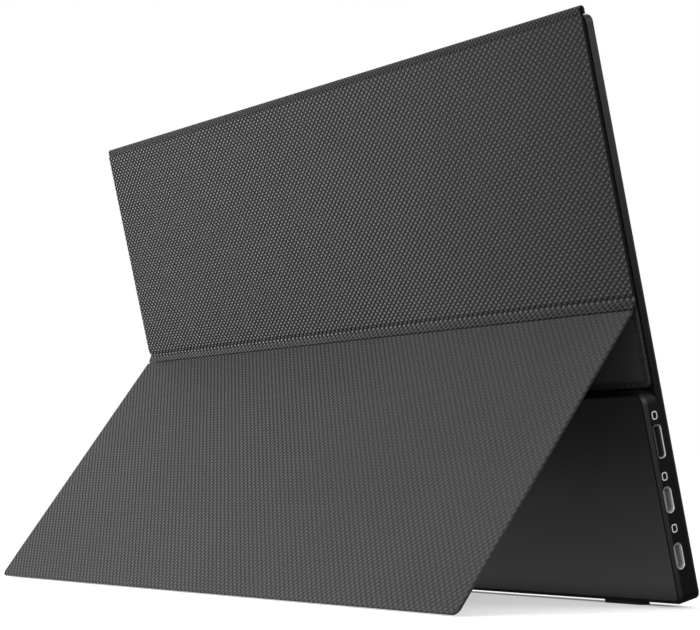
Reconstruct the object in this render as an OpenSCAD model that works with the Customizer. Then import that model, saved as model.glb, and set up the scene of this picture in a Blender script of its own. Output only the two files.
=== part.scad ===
// Portable monitor that stands on its own folding magnetic cover.
//
// Most pieces are drawn in the monitor's own frame, as if it stood upright:
// X runs across the screen, Y runs from the screen (0) to the back, and Z runs
// up the screen from its bottom edge. on_stand() then leans the monitor back on
// its feet. The screen looks towards -Y and the leg stands out towards +Y.

/* [Monitor body] */
// Width of the monitor across its sides
body_w = 356; // [330:1:390]
// Height of the monitor, measured along its back
body_h = 212; // [206:1:230]
// Full thickness of the deep lower part
body_t = 9.6; // [9.4:0.1:12]
// Height of the deep lower part
chin_h = 78; // [76:0.2:90]
// Radius of the monitor's top corners, seen from the front
top_r = 3; // [2.5:0.5:6]
// Radius of the monitor's bottom corners
bottom_r = 3; // [2.5:0.5:6]
// Radius of the deep part's top corners
chin_r = 4.8; // [2.5:0.1:6]
// Bevel round the back of the deep part
edge_c = 1.2; // [0.8:0.1:1.6]
// Small bevel round the front frame
front_c = 0.4; // [0.2:0.05:0.45]
// Side wall of the slim tray
side_wall = 1.2; // [0.8:0.1:1.6]
// Side wall of the deep part
chin_wall = 2.6; // [2.4:0.1:3.2]
// Back wall of the slim tray
back_wall = 0.6; // [0.5:0.05:1]
// Thickness of the plate that closes the deep part
cover_t = 1; // [0.8:0.1:1.2]
// Gap round that plate
cover_gap = 0.2; // [0.1:0.05:0.4]
// How far the monitor leans back from upright, in degrees
lean = 14; // [10:0.5:18]

/* [Screen layers] */
// Border beside the picture
bezel_side = 5.9; // [5.5:0.1:9]
// Border above the picture
bezel_top = 5.4; // [5:0.1:9]
// Border below the picture
bezel_base = 13; // [12.5:0.1:16]
// Thickness of the front frame
frame_t = 1; // [0.9:0.05:1.3]
// Thickness of the frame's lip in front of the glass
lip_t = 0.5; // [0.4:0.05:0.6]
// Running gap between lip and glass
layer_gap = 0.05; // [0.03:0.01:0.1]
// Glass cell
cell_t = 0.9; // [0.8:0.05:1.2]
// Stack of optical films
film_t = 0.35; // [0.3:0.05:0.5]
// Light guide
guide_t = 0.5; // [0.4:0.05:0.8]
// White reflector
reflector_t = 0.15; // [0.1:0.05:0.2]
// Adhesive strips behind the reflector
tape_t = 0.25; // [0.2:0.05:0.3]
// Steel sheet that the cover's magnets hold on to
steel_t = 0.3; // [0.2:0.05:0.4]

/* [Sockets] */
// Length of a reversible data socket's shell
data_w = 8.95; // [8.9:0.05:9.2]
// Thickness of a reversible data socket's shell
data_h = 3.25; // [3.15:0.05:3.4]
// Length of the video socket's shell
video_w = 11.4; // [11.2:0.1:12]
// Thickness of the video socket's shell
video_h = 3.1; // [3:0.05:3.4]
// Wall of the socket shells
shell_t = 0.3; // [0.25:0.05:0.4]
// Thickness of the tongue inside a socket
tongue_t = 0.7; // [0.6:0.05:0.8]
// Depth of the sockets
socket_d = 7.4; // [6.5:0.1:8]
// How far the sockets' mouths lie inside the side face
socket_inset = 0.4; // [0.2:0.05:0.6]
// Gap between a socket and its cut-out
socket_gap = 0.1; // [0.05:0.05:0.15]
// Bevel round each cut-out
mouth_c = 0.45; // [0.3:0.05:0.6]
// Height of the lower data socket up the side
data_low_z = 17.4; // [15:0.1:18]
// Height of the upper data socket
data_high_z = 38; // [36:0.1:39]
// Distance of the data sockets' mid line from the monitor's back
data_in = 3; // [2.8:0.1:3.4]
// Distance of the video socket's middle below the deep part's top
video_drop = 18.9; // [17.5:0.1:19.5]
// Distance of the video socket's mid line from the monitor's back
video_in = 3.7; // [3:0.1:4]
// Radius of the audio socket's bore
audio_r = 1.8; // [1.77:0.01:1.85]
// Depth of the audio socket's bore
audio_d = 14.5; // [13:0.1:15]
// Height of the audio socket
audio_z = 17; // [16:0.1:19]

/* [Controls] */
// Distance of the power button below the deep part's top
button_drop = 16.8; // [16:0.1:18]
// Length of the power button's cap
button_w = 8; // [6:0.1:9]
// Thickness of the power button's cap
button_h = 2.6; // [2:0.1:3]
// How far the button's cap stands out of the side
button_out = 0.5; // [0.3:0.1:0.8]
// Travel of the power button
button_travel = 0.4; // [0.3:0.05:0.45]
// Distance of the menu dial's middle below the deep part's top
dial_drop = 38.8; // [37:0.1:41]
// Radius of the menu dial
dial_r = 5.4; // [5:0.1:5.6]
// Thickness of the menu dial
dial_t = 2.2; // [1.8:0.1:2.4]
// How far the dial stands out of the side
dial_out = 0.7; // [0.5:0.1:0.9]
// Inward travel of the menu dial
dial_travel = 0.35; // [0.3:0.05:0.4]
// Gap round a moving control in its cut-out
control_gap = 0.15; // [0.1:0.05:0.2]
// Radius of the dial's pin
pin_r = 1; // [0.8:0.05:1.1]
// Radial running clearance on the pin
pin_gap = 0.05; // [0.03:0.01:0.08]
// Distance of the status light below the deep part's top
light_drop = 26.8; // [26:0.1:29]

/* [Boards] */
// Thickness of the circuit boards
board_t = 1; // [0.8:0.1:1.2]
// Height of the bosses that carry the boards
boss_h = 1.2; // [1:0.1:1.4]
// Radius of the bosses
boss_r = 2.5; // [2:0.1:3]
// Width of the main board
main_w = 75; // [70:1:90]
// Width of the control board
key_w = 25; // [22:1:30]
// Height of both boards' bottom edges
board_base = 9; // [8.5:0.1:9.5]
// Distance from the boards' top edge to the deep part's top
board_top_gap = 5.8; // [5:0.1:6.5]
// Width of the metal shield over the main chips
can_w = 32; // [28:1:36]
// Height of the metal shield
can_h = 30; // [26:1:34]
// Width of each loudspeaker
speaker_w = 34; // [26:1:40]
// Height of each loudspeaker
speaker_h = 9; // [8:0.1:9.3]
// Distance of the left loudspeaker from the main board
speaker_off = 13; // [6:1:20]

/* [Feet] */
// Width of each rubber foot
foot_w = 19.5; // [16:0.5:28]
// Distance of each foot from the monitor's side
foot_in = 23.4; // [6:0.2:40]
// Depth of each foot, front to back
foot_d = 4.4; // [3:0.1:5]
// How far each foot's back edge stands out below the monitor
foot_drop = 1.4; // [1:0.1:2]
// How deep each foot is set into the housing
foot_sink = 0.4; // [0.2:0.05:0.6]

/* [Cover] */
// How far the upper panel and the leg reach past each side of the monitor
panel_over = 1; // [0:0.1:4]
// How far the clinging panel stops short of each side
attach_in = 0.7; // [0:0.1:4]
// Outer skin of the cover
skin_t = 0.4; // [0.3:0.05:0.5]
// Stiffening boards inside the panels
stiff_t = 0.6; // [0.5:0.05:1]
// Lining and turned hem
lining_t = 0.3; // [0.2:0.05:0.4]
// Width of the turned hem
hem_w = 2.5; // [2:0.1:4]
// Width of the skin's wrap round a board's edge
wrap_t = 0.5; // [0.4:0.05:0.8]
// Corner radius of the panels
panel_r = 2.5; // [1.5:0.1:4]
// Gap between the two panels that lie together
panel_gap = 0.2; // [0.1:0.05:0.4]
// Gap between the clinging panel and the deep part below it
chin_gap = 0.4; // [0.3:0.1:3]
// How far the spine stands above the monitor's top edge
spine_out = 3; // [2:0.1:5]
// Height of the folded spine above the panels' top edge
spine_h = 3.1; // [3:0.1:5]
// Thickness of the bare spine and fold material
web_t = 0.6; // [0.5:0.05:0.7]
// Height of the leg's fold up the monitor
fold_z = 107.1; // [95:0.1:118]
// How far the folded leg's top edge stands out from the upper panel
fold_out = 1.8; // [1.4:0.1:2.2]
// Height of the soft zone above the fold
fold_h = 5.6; // [4.5:0.1:8]
// Radius of the bulge that the folded material makes above the leg
bulge_r = 1.75; // [1.6:0.05:1.9]
// Length of the leg
leg_len = 130; // [127:0.1:150]
// Width of a cover magnet
magnet_w = 30; // [20:1:36]
// Height of a cover magnet
magnet_h = 8; // [5:0.5:10]

/* [Hidden] */
$fn = 64;
hair = 0.02;
// Depths, from the screen's front face to the back
cell_y = lip_t + layer_gap;
film_y = cell_y + cell_t;
guide_y = film_y + film_t;
reflector_y = guide_y + guide_t;
tape_y = reflector_y + reflector_t;
steel_y = tape_y + tape_t;
wall_y = steel_y + steel_t;
slim_t = wall_y + back_wall;
ledge_y = body_t - cover_t;
board_y = slim_t + boss_h;
board_back = board_y + board_t;
chin_mid_y = (slim_t + ledge_y) / 2;
data_y = body_t - data_in;
video_y = body_t - video_in;
// Half widths and inner edges
half_w = body_w / 2;
chin_in = half_w - chin_wall;
board_gap = 0.4;
board_x = chin_in - board_gap;
board_h = chin_h - board_top_gap - board_base;
board_top = board_base + board_h;
boss_in = 4.5;
high_boss_in = 3.5;
floor_gap = 0.2;
rim_w = 0.1;
seat_in = edge_c + rim_w;
cover_in = seat_in + cover_gap;
inner_r = 0.5;
// Heights up the side
video_z = chin_h - video_drop;
button_z = chin_h - button_drop;
dial_z = chin_h - dial_drop;
light_z = chin_h - light_drop;
// Screen module inside the tray
view_w = body_w - 2 * bezel_side;
view_h = body_h - bezel_base - bezel_top;
view_r = 0.5;
tray_gap = 0.2;
cell_below = 5.4;
cell_over = 2.4;
cell_w = view_w + 2 * cell_over;
cell_h = cell_below + view_h + cell_over;
cell_z = bezel_base - cell_below;
module_z = cell_z - 0.6;
module_h = body_h - side_wall - tray_gap - module_z;
opening_over = 1;
stack_w = view_w + opening_over;
led_h = 2;
led_drop = 3.3;
led_t = 0.125;
led_rise = 0.3;
led_l = 4.9;
led_count = 42;
module_gap = 0.1;
led_z = bezel_base - led_drop;
guide_z = led_z + led_h + module_gap;
guide_h = bezel_base + view_h + opening_over - module_gap - guide_z;
driver_in = 36;
driver_w = view_w - 2 * driver_in;
driver_z = side_wall + 0.7;
driver_h = module_z - driver_z - 0.4;
driver_t = 0.8;
driver_chips = 5;
driver_chip_w = 9;
driver_chip_t = 0.35;
tape_w = 10;
tape_top = 12;
// Flat cable from the screen to the main board, with its plug on the board
cable_w = 16;
cable_t = 0.25;
cable_off = 14;
cable_x = main_w / 2 + cable_off - board_x;
cable_z = chin_wall + 1.8;
cable_slot = 0.8;
plug_z = board_base + 4;
plug_h = 4;
plug_t = 1.2;
plug_over = 1.5;
// Ribbon between the boards, and the loudspeakers' leads
ribbon_t = 0.2;
ribbon_w = 4;
ribbon_in = 8;
ribbon_drop = 11.6;
ribbon_z = board_top - ribbon_drop;
wire_r = 0.5;
wire_rise = 2;
wire_pitch = 1.6;
// Socket tabs that lie on the main board, and the tongues' places
tab_w = 1.1;
tab_t = 0.3;
tab_l = 2;
tab_in = 1.5;
tongue_in = 1.2;
tongue_back = 0.6;
tongue_side = 1.15;
video_r = 1;
// Chips and shield on the main board
chip_t = 0.8;
chip_w = 16;
memory_w = 4;
memory_h = 8;
chip_gap = 1.5;
coil_w = 5;
coil_t = 1.8;
coil_in = 14;
coil_pitch = 7;
coil_rows = 3;
pad_t = 0.6;
pad_w = 20;
can_t = 0.25;
can_in = 22;
can_rise = ledge_y - board_back - pad_t;
can_x = main_w - can_in - board_x;
can_z = board_base + board_h / 2;
vent_r = 0.6;
vents = 4;
// Controls
button_flange = 0.9;
flange_over = 0.8;
flange_gap = 0.1;
flange_room = 0.5;
post_r = 0.8;
post_len = 0.55;
switch_gap = 0.05;
switch_d = 3.3;
switch_w = 5.2;
switch_h = 3;
plunger_len = 0.6;
button_x = chin_in - flange_gap - button_flange;
dial_x = half_w + dial_out - dial_r;
bracket_t = 0.6;
bracket_gap = 0.2;
bracket_w = 7;
bracket_wall = 2;
bracket_past = 0.5;
bracket_front = dial_x - dial_r - bracket_past;
bracket_x = bracket_front - bracket_wall;
ridge_r = 0.25;
ridge_count = 30;
ridge_in = 0.2;
dial_switch_x = bracket_x - dial_travel - switch_gap;
power_switch_x = button_x - post_len - button_travel - switch_gap;
light_r = 0.6;
light_in = 0.1;
lamp_w = 2;
lamp_l = 1.6;
lamp_t = 1;
audio_w = 6.2;
audio_h = ledge_y - slim_t;
audio_nose = audio_r + 0.5;
audio_end = half_w - 0.3;
audio_back = 1.8;
audio_x = audio_end - audio_d - audio_back;
screw_head_r = 1.9;
screw_head_t = 0.9;
screw_r = 0.8;
screw_gap = 0.05;
screw_play = 0.3;
cross_l = 2.2;
cross_w = 0.4;
// Loudspeakers and their slots in the bottom edge
speaker_x = board_x - main_w - speaker_off - speaker_w / 2;
speaker_gap = 0.4;
speaker_r = 1;
speaker_wall = 2;
speaker_dent = 0.6;
speaker_room = 0.3;
slot_count = 7;
slot_pitch = 4;
slot_w = 2;
slot_h = 3.2;
// Feet: their bases lie level when the monitor leans back
foot_back = body_t - edge_c - 0.3;
foot_front = foot_back - foot_d;
foot_x = half_w - foot_in - foot_w / 2;
stand_z = foot_back * sin(lean) + foot_drop * cos(lean);
// Cover
panel_t = skin_t + stiff_t + lining_t;
upper_y = slim_t + panel_t + panel_gap;
outer_y = upper_y + panel_t;
panel_w = body_w + 2 * panel_over;
attach_w = body_w - 2 * attach_in;
attach_z = chin_h + chin_gap;
spine_top = body_h + spine_out;
crease_z = spine_top - spine_h;
spine_w = outer_y - slim_t;
stiff_z = fold_z + fold_h;
strip_y = 0.6;
bulge_rise = 1.5;
web_in = 0.9;
crease_w = 0.4;
magnet_in = 12;
leg_r = 3;
fold_r = 0.5;
hem_r = 0.5;
least_r = 0.2;
magnet_count = 5;
fit_gap = 0.05;
// The leg swings down until its inner edge meets the table
fold_y = outer_y + fold_out;
fold_up = stand_z + fold_z * cos(lean) - fold_y * sin(lean);
leg_reach = sqrt(leg_len * leg_len + panel_t * panel_t);
leg_a = acos(fold_up / leg_reach) + atan(panel_t / leg_len);
fold_a = leg_a + lean;
// The origin lies on the table, under the middle of the whole outline
front_y = front_c * sin(lean);
end_y = fold_y * cos(lean) + fold_z * sin(lean) + leg_len * sin(leg_a);
mid_y = (front_y + end_y) / 2;

// ---- Placing and shaping helpers ----

// Leans the upright monitor back on its feet and centres the whole on the origin
module on_stand() {
    translate([0, -mid_y, stand_z]) rotate([-lean, 0, 0]) children();
}

// Turns a drawing in the plane of the screen upright; its thickness runs back from depth y
module behind(y) {
    translate([0, y, 0]) mirror([0, 1, 0]) rotate([90, 0, 0]) children();
}

// Extrudes a side profile, drawn as (depth, height), across the width from x on
module across(x, w) {
    translate([x, 0, 0]) rotate([90, 0, 90]) linear_extrude(w) children();
}

// Upright outline, centred across, with its own bottom and top corner radii
module outline(w, h, rb, rt) {
    translate([-w / 2, rb]) square([w, h - rb - rt]);
    translate([-w / 2 + rb, 0]) square([w - 2 * rb, h / 2]);
    translate([-w / 2 + rt, h / 2]) square([w - 2 * rt, h / 2]);
    for (s = [-1, 1]) {
        translate([s * (w / 2 - rb), rb]) circle(rb);
        translate([s * (w / 2 - rt), h - rt]) circle(rt);
    }
}

// The same outline as a layer that narrows by c over a thickness of c
module bevel_layer(w, h, rb, rt, c) {
    translate([0, h - rt, 0]) rotate([90, 0, 0]) linear_extrude(h - rb - rt)
        polygon([[-w / 2, 0], [w / 2, 0], [w / 2 - c, c], [-w / 2 + c, c]]);
    rotate([90, 0, 90]) translate([0, 0, -w / 2 + rb]) linear_extrude(w - 2 * rb)
        polygon([[0, 0], [h / 2, 0], [h / 2, c], [c, c]]);
    rotate([90, 0, 90]) translate([0, 0, -w / 2 + rt]) linear_extrude(w - 2 * rt)
        polygon([[h / 2, 0], [h, 0], [h - c, c], [h / 2, c]]);
    for (s = [-1, 1]) {
        translate([s * (w / 2 - rb), rb, 0]) cylinder(h = c, r1 = rb, r2 = rb - c);
        translate([s * (w / 2 - rt), h - rt, 0]) cylinder(h = c, r1 = rt, r2 = rt - c);
    }
}

// Rounded rectangle centred on its middle: h is the depth, w the height
module outline_at(w, h, r) {
    square([h, w - 2 * r], center = true);
    if (h > 2 * r) square([h - 2 * r, w], center = true);
    for (a = [-1, 1], b = [-1, 1]) translate([a * (h / 2 - r), b * (w / 2 - r)]) circle(r);
}

// A layer that widens by c over a thickness of c, from a rounded rectangle
module flare(w, h, r, c) {
    rotate([90, 0, 0]) translate([0, 0, -w / 2 + r]) linear_extrude(w - 2 * r)
        polygon([[-h / 2, 0], [h / 2, 0], [h / 2 + c, c], [-h / 2 - c, c]]);
    if (h > 2 * r) rotate([90, 0, 90]) translate([0, 0, -h / 2 + r]) linear_extrude(h - 2 * r)
        polygon([[-w / 2, 0], [w / 2, 0], [w / 2 + c, c], [-w / 2 - c, c]]);
    for (a = [-1, 1], b = [-1, 1])
        translate([a * (h / 2 - r), b * (w / 2 - r), 0]) cylinder(h = c, r1 = r, r2 = r + c);
}

// ---- Screen ----

module front_frame() {
    color("#1b1b1d") on_stand() difference() {
        union() {
            behind(front_c) linear_extrude(frame_t - front_c)
                outline(body_w, body_h, bottom_r, top_r);
            translate([0, front_c, 0]) rotate([90, 0, 0])
                bevel_layer(body_w, body_h, bottom_r, top_r, front_c);
        }
        behind(-1) linear_extrude(frame_t + 2) translate([0, bezel_base])
            outline(view_w, view_h, view_r, view_r);
        behind(lip_t) linear_extrude(frame_t) translate([0, cell_z - layer_gap])
            square_up(cell_w + 2 * layer_gap, cell_h + 2 * layer_gap);
    }
}

// Rectangle centred across, standing on its bottom edge
module square_up(w, h) {
    translate([-w / 2, 0]) square([w, h]);
}

module lcd_cell() {
    color("#0a0c10") on_stand() behind(cell_y) linear_extrude(cell_t)
        translate([0, cell_z]) square_up(cell_w, cell_h);
}

module optical_films() {
    color("#e6e8ea") on_stand() behind(film_y) linear_extrude(film_t)
        translate([0, guide_z]) square_up(stack_w, guide_h);
}

module light_guide() {
    color("#dfeaf2") on_stand() behind(guide_y) linear_extrude(guide_t)
        translate([0, guide_z]) square_up(stack_w, guide_h);
}

module reflector_sheet() {
    color("white") on_stand() behind(reflector_y) linear_extrude(reflector_t)
        translate([0, led_z]) square_up(stack_w, guide_h + guide_z - led_z);
}

module backlight_frame() {
    color("#d8d8d4") on_stand() behind(film_y) linear_extrude(tape_y - film_y) difference() {
        translate([0, module_z]) outline(body_w - 2 * (side_wall + tray_gap), module_h,
            inner_r, top_r - side_wall - tray_gap);
        translate([0, led_z - module_gap]) square_up(stack_w + 2 * module_gap,
            guide_z + guide_h + 2 * module_gap - led_z);
    }
}

module led_strip() {
    pitch = view_w / led_count;
    color("#f4e7b0") on_stand() {
        behind(guide_y) linear_extrude(led_t) translate([0, led_z]) square_up(view_w, led_h);
        for (i = [0 : led_count - 1])
            translate([(i + 0.5) * pitch - (view_w + led_l) / 2, guide_y + led_t,
                led_z + led_h / 2]) cube([led_l, led_rise, led_h / 2]);
    }
}

module panel_driver_board() {
    pitch = driver_w / driver_chips;
    color("#1f5a36") on_stand() {
        behind(film_y) linear_extrude(driver_t) translate([0, driver_z])
            square_up(driver_w, driver_h);
        for (i = [1 : driver_chips - 1]) translate([i * pitch - (driver_w + driver_chip_w) / 2,
            film_y + driver_t, driver_z + driver_h / 4])
                cube([driver_chip_w, driver_chip_t, driver_h / 2]);
        translate([cable_x - cable_w / 2, film_y + driver_t, cable_z + cable_t])
            cube([cable_w, driver_chip_t, driver_z + driver_h - cable_z - cable_t]);
    }
}

module panel_tape() {
    color("#303030") on_stand() for (s = [-1, 1])
        translate([s * view_w / 4 - tape_w / 2, tape_y, chin_h])
            cube([tape_w, tape_t, body_h - tape_top - chin_h]);
}

module holding_plate() {
    color("#9a9da0") on_stand() behind(steel_y) linear_extrude(steel_t)
        translate([0, attach_z + hem_w]) square_up(view_w, crease_z - attach_z - 3 * hem_w);
}

// ---- Housing ----

// Places of the bosses: the main board's four and the control board's two
function boss_places() = concat(
    [[boss_in - board_x, (data_low_z + data_high_z) / 2],
     [boss_in - board_x, board_top - high_boss_in],
     [main_w - boss_in - board_x, board_base + boss_in],
     [main_w - boss_in - board_x, board_top - boss_in]],
    [[board_x - key_w + boss_in, board_base + boss_in],
     [board_x - key_w + boss_in, board_top - boss_in]]);

// Body of the deep part, with a bevel round its back
module chin_block() {
    behind(slim_t - hair) linear_extrude(body_t - slim_t - edge_c + hair)
        outline(body_w, chin_h, bottom_r, chin_r);
    behind(body_t - edge_c) bevel_layer(body_w, chin_h, bottom_r, chin_r, edge_c);
}

// Cut-out for a socket through the wall on the -X side, with its bevelled mouth
module socket_cut(w, h, r, y, z) {
    translate([-half_w - 1, y, z]) rotate([90, 0, 90]) linear_extrude(chin_wall + 2)
        outline_at(w + 2 * socket_gap, h + 2 * socket_gap, r + socket_gap);
    translate([-half_w + mouth_c, y, z]) mirror([1, 0, 0]) rotate([90, 0, 90])
        flare(w + 2 * socket_gap, h + 2 * socket_gap, r + socket_gap, mouth_c + hair);
}

module rear_housing() {
    color("#1a1b1e") on_stand() difference() {
        union() {
            behind(frame_t) linear_extrude(slim_t - frame_t)
                outline(body_w, body_h, bottom_r, top_r);
            chin_block();
        }
        // Tray for the screen module
        behind(frame_t - 1) linear_extrude(wall_y - frame_t + 1) translate([0, side_wall])
            outline(body_w - 2 * side_wall, body_h - 2 * side_wall, bottom_r - side_wall,
                top_r - side_wall);
        // Room for the boards, and the seat of the closing plate
        difference() {
            behind(slim_t) linear_extrude(body_t) translate([0, chin_wall])
                outline(body_w - 2 * chin_wall, chin_h - 2 * chin_wall, inner_r, inner_r);
            for (p = boss_places())
                translate([p[0], slim_t - hair, p[1]]) rotate([-90, 0, 0])
                    cylinder(h = boss_h + hair, r = boss_r);
        }
        behind(ledge_y) linear_extrude(body_t) translate([0, seat_in])
            outline(body_w - 2 * seat_in, chin_h - 2 * seat_in, bottom_r - seat_in + hair,
                chin_r - seat_in + hair);
        // Screw holes in the bosses
        for (p = boss_places())
            translate([p[0], slim_t + floor_gap, p[1]]) rotate([-90, 0, 0])
                cylinder(h = boss_h, r = screw_r + screw_gap);
        // Slot for the screen's flat cable
        translate([cable_x - cable_w / 2 - cable_slot, wall_y - 1, cable_z - cable_slot])
            cube([cable_w + 2 * cable_slot, back_wall + 2, cable_t + 2 * cable_slot]);
        // Sockets on the -X side
        socket_cut(data_w, data_h, data_h / 2, data_y, data_low_z);
        socket_cut(data_w, data_h, data_h / 2, data_y, data_high_z);
        socket_cut(video_w, video_h, video_r, video_y, video_z);
        // Controls, status light and audio socket on the +X side
        translate([chin_in - 1, chin_mid_y, button_z]) rotate([90, 0, 90])
            linear_extrude(chin_wall + 2) outline_at(button_w + 2 * control_gap,
                button_h + 2 * control_gap, button_h / 2 + control_gap);
        translate([dial_x, chin_mid_y - dial_t / 2 - 2 * control_gap, dial_z]) rotate([-90, 0, 0])
            cylinder(h = dial_t + 4 * control_gap, r = dial_r + ridge_r + control_gap);
        translate([chin_in - 1, chin_mid_y, light_z]) rotate([0, 90, 0])
            cylinder(h = chin_wall + 2, r = light_r + pin_gap);
        translate([chin_in - 1, chin_mid_y, audio_z]) rotate([0, 90, 0])
            cylinder(h = chin_wall + 2, r = audio_nose + socket_gap);
        // Loudspeaker slots in the bottom edge
        for (s = [-1, 1], i = [0 : slot_count - 1])
            translate([s * speaker_x + (i - (slot_count - 1) / 2) * slot_pitch - slot_w / 2,
                chin_mid_y - slot_h / 2, -1]) cube([slot_w, slot_h, chin_wall + 2]);
        // Recesses for the feet
        for (s = [-1, 1]) translate([s * foot_x - foot_w / 2, foot_front, -1])
            cube([foot_w, foot_d, 1 + foot_sink]);
    }
}

module chin_cover() {
    color("#2a2b2e") on_stand() behind(ledge_y) linear_extrude(cover_t)
        translate([0, cover_in]) outline(body_w - 2 * cover_in, chin_h - 2 * cover_in,
            bottom_r - cover_in, chin_r - cover_in);
}

// A rubber foot: a pad whose base lies flat on the table
module foot(x) {
    base = function(y) (y * sin(lean) - stand_z) / cos(lean);
    color("#0c0c0c") on_stand() across(x - foot_w / 2, foot_w)
        polygon([[foot_front, foot_sink], [foot_front, base(foot_front)],
            [foot_back, base(foot_back)], [foot_back, foot_sink]]);
}

module foot_left() { foot(-foot_x); }
module foot_right() { foot(foot_x); }

// ---- Boards and what they carry ----

// Shell of a socket with a tongue in it, opening towards -X, and its tabs on the board
module socket_shell(w, h, r, y, z) {
    mouth_x = socket_inset - half_w;
    tongue_w = w - 2 * tongue_side;
    translate([mouth_x, y, z]) rotate([90, 0, 90]) difference() {
        linear_extrude(socket_d) outline_at(w, h, r);
        translate([0, 0, -1]) linear_extrude(socket_d) outline_at(w - 2 * shell_t,
            h - 2 * shell_t, r - shell_t);
    }
    translate([mouth_x + tongue_in, y - tongue_t / 2, z - tongue_w / 2])
        cube([socket_d - tongue_in - tongue_back, tongue_t, tongue_w]);
    for (s = [-1, 1]) translate([tab_in - chin_in, board_back,
        z + s * (w / 2 - shell_t + tab_w / 2) - tab_w / 2]) cube([tab_l, tab_t, tab_w]);
}

module video_socket() {
    color("#b8babd") on_stand() socket_shell(video_w, video_h, video_r, video_y, video_z);
}

module data_socket_upper() {
    color("#b8babd") on_stand() socket_shell(data_w, data_h, data_h / 2, data_y, data_high_z);
}

module data_socket_lower() {
    color("#b8babd") on_stand() socket_shell(data_w, data_h, data_h / 2, data_y, data_low_z);
}

module audio_socket() {
    color("#17181a") on_stand() translate([0, chin_mid_y, audio_z]) difference() {
        union() {
            translate([audio_x, -audio_h / 2, -audio_w / 2])
                cube([chin_in - board_gap / 2 - audio_x, audio_h, audio_w]);
            translate([board_x, 0, 0]) rotate([0, 90, 0])
                cylinder(h = audio_end - board_x, r = audio_nose);
        }
        translate([audio_end - audio_d, 0, 0]) rotate([0, 90, 0])
            cylinder(h = audio_d + 1, r = audio_r);
    }
}

// Notch in a board's outer edge round a piece of height w that reaches in by d
module edge_notch(side, z, w, d) {
    translate([side > 0 ? board_x - d : -board_x - 1, z - w / 2]) square([d + 1, w]);
}

module main_board() {
    sunk = socket_inset + socket_d + fit_gap - chin_wall - board_gap;
    color("#1e4d78") on_stand() behind(board_y) linear_extrude(board_t) difference() {
        translate([-board_x, board_base]) square([main_w, board_h]);
        for (z = [data_low_z, data_high_z]) edge_notch(-1, z, data_w, sunk);
        edge_notch(-1, video_z, video_w, sunk);
        for (i = [0 : 3]) translate(boss_places()[i]) circle(screw_r + screw_play);
    }
}

module key_board() {
    switch_l = plunger_len + switch_d;
    color("#1e4d78") on_stand() behind(board_y) linear_extrude(board_t) difference() {
        translate([board_x - key_w, board_base]) square([key_w, board_h]);
        edge_notch(1, audio_z, audio_w, board_x - audio_x);
        edge_notch(1, dial_z, 2 * (dial_r + ridge_r + flange_room), board_x - bracket_x);
        edge_notch(1, dial_z, bracket_w + 2 * bracket_gap, board_x - dial_switch_x);
        edge_notch(1, dial_z, switch_w, board_x - dial_switch_x + switch_l);
        edge_notch(1, button_z, button_w + 2 * (flange_over + flange_room),
            board_x - power_switch_x);
        edge_notch(1, button_z, switch_w, board_x - power_switch_x + switch_l);
        for (i = [4, 5]) translate(boss_places()[i]) circle(screw_r + screw_play);
    }
}

module board_chips() {
    memory_off = chip_w / 2 + chip_gap + memory_w / 2;
    color("#15161a") on_stand() {
        chip(can_x, can_z, chip_w, chip_w, chip_t);
        for (s = [-1, 1]) chip(can_x + s * memory_off, can_z, memory_w, memory_h, chip_t);
        for (i = [0, 1], k = [1 : coil_rows])
            chip(coil_in + i * coil_pitch - board_x, data_low_z + k * coil_pitch, coil_w, coil_w,
                coil_t);
        chip(cable_x, plug_z + plug_h / 2, cable_w + 2 * plug_over, plug_h, plug_t);
    }
}

// A chip on the back of the main board, by its middle
module chip(x, z, w, h, t) {
    translate([x - w / 2, board_back, z - h / 2]) cube([w, t, h]);
}

// Pressed metal can over the largest chips, with rows of vent holes
module chip_shield() {
    color("#c9cbce") on_stand() translate([can_x - can_w / 2, board_back, can_z - can_h / 2])
        difference() {
            cube([can_w, can_rise, can_h]);
            translate([can_t, -1, can_t])
                cube([can_w - 2 * can_t, can_rise - can_t + 1, can_h - 2 * can_t]);
            for (i = [1 : vents], k = [1 : vents])
                translate([i * can_w / (vents + 1), 0, k * can_h / (vents + 1)])
                    rotate([-90, 0, 0]) cylinder(h = can_rise + 1, r = vent_r);
        }
}

module thermal_pad() {
    color("#8ea9c4") on_stand() translate([can_x - pad_w / 2, ledge_y - pad_t, can_z - pad_w / 2])
        cube([pad_w, pad_t, pad_w]);
}

// Flat cable: out of the tray through its slot, then up into its plug on the main board
module panel_cable() {
    start = film_y + driver_t;
    back = board_back + plug_t / 2;
    color("#c9b37a") on_stand() across(cable_x - cable_w / 2, cable_w)
        polygon([[start, cable_z], [back, cable_z], [back, plug_z], [back - cable_t, plug_z],
            [back - cable_t, cable_z + cable_t], [start, cable_z + cable_t]]);
}

// Ribbon that runs along the floor and is soldered to the front of both boards
module key_cable() {
    x0 = main_w - ribbon_in - board_x;
    x1 = board_x - key_w + ribbon_in;
    color("#e3e3df") on_stand() translate([0, slim_t, ribbon_z]) linear_extrude(ribbon_w)
        polygon([[x0, boss_h], [x0, 0], [x1, 0], [x1, boss_h], [x1 - ribbon_t, boss_h],
            [x1 - ribbon_t, ribbon_t], [x0 + ribbon_t, ribbon_t], [x0 + ribbon_t, boss_h]]);
}

// A loudspeaker's lead: along above the loudspeakers, then down into one
module speaker_wire(x, z) {
    start = main_w - board_x;
    top = chin_wall + speaker_gap + speaker_h;
    translate([0, board_y + board_t / 2, 0]) {
        translate([start, 0, z]) rotate([0, 90, 0]) cylinder(h = x - start, r = wire_r);
        translate([x, 0, top]) cylinder(h = z - top, r = wire_r);
        translate([x, 0, z]) sphere(wire_r);
    }
}

module speaker_wires() {
    low = chin_wall + speaker_h + wire_rise;
    color("#9c2b26") on_stand() {
        speaker_wire(-speaker_x, low);
        speaker_wire(speaker_x, low + wire_pitch);
    }
}

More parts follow.
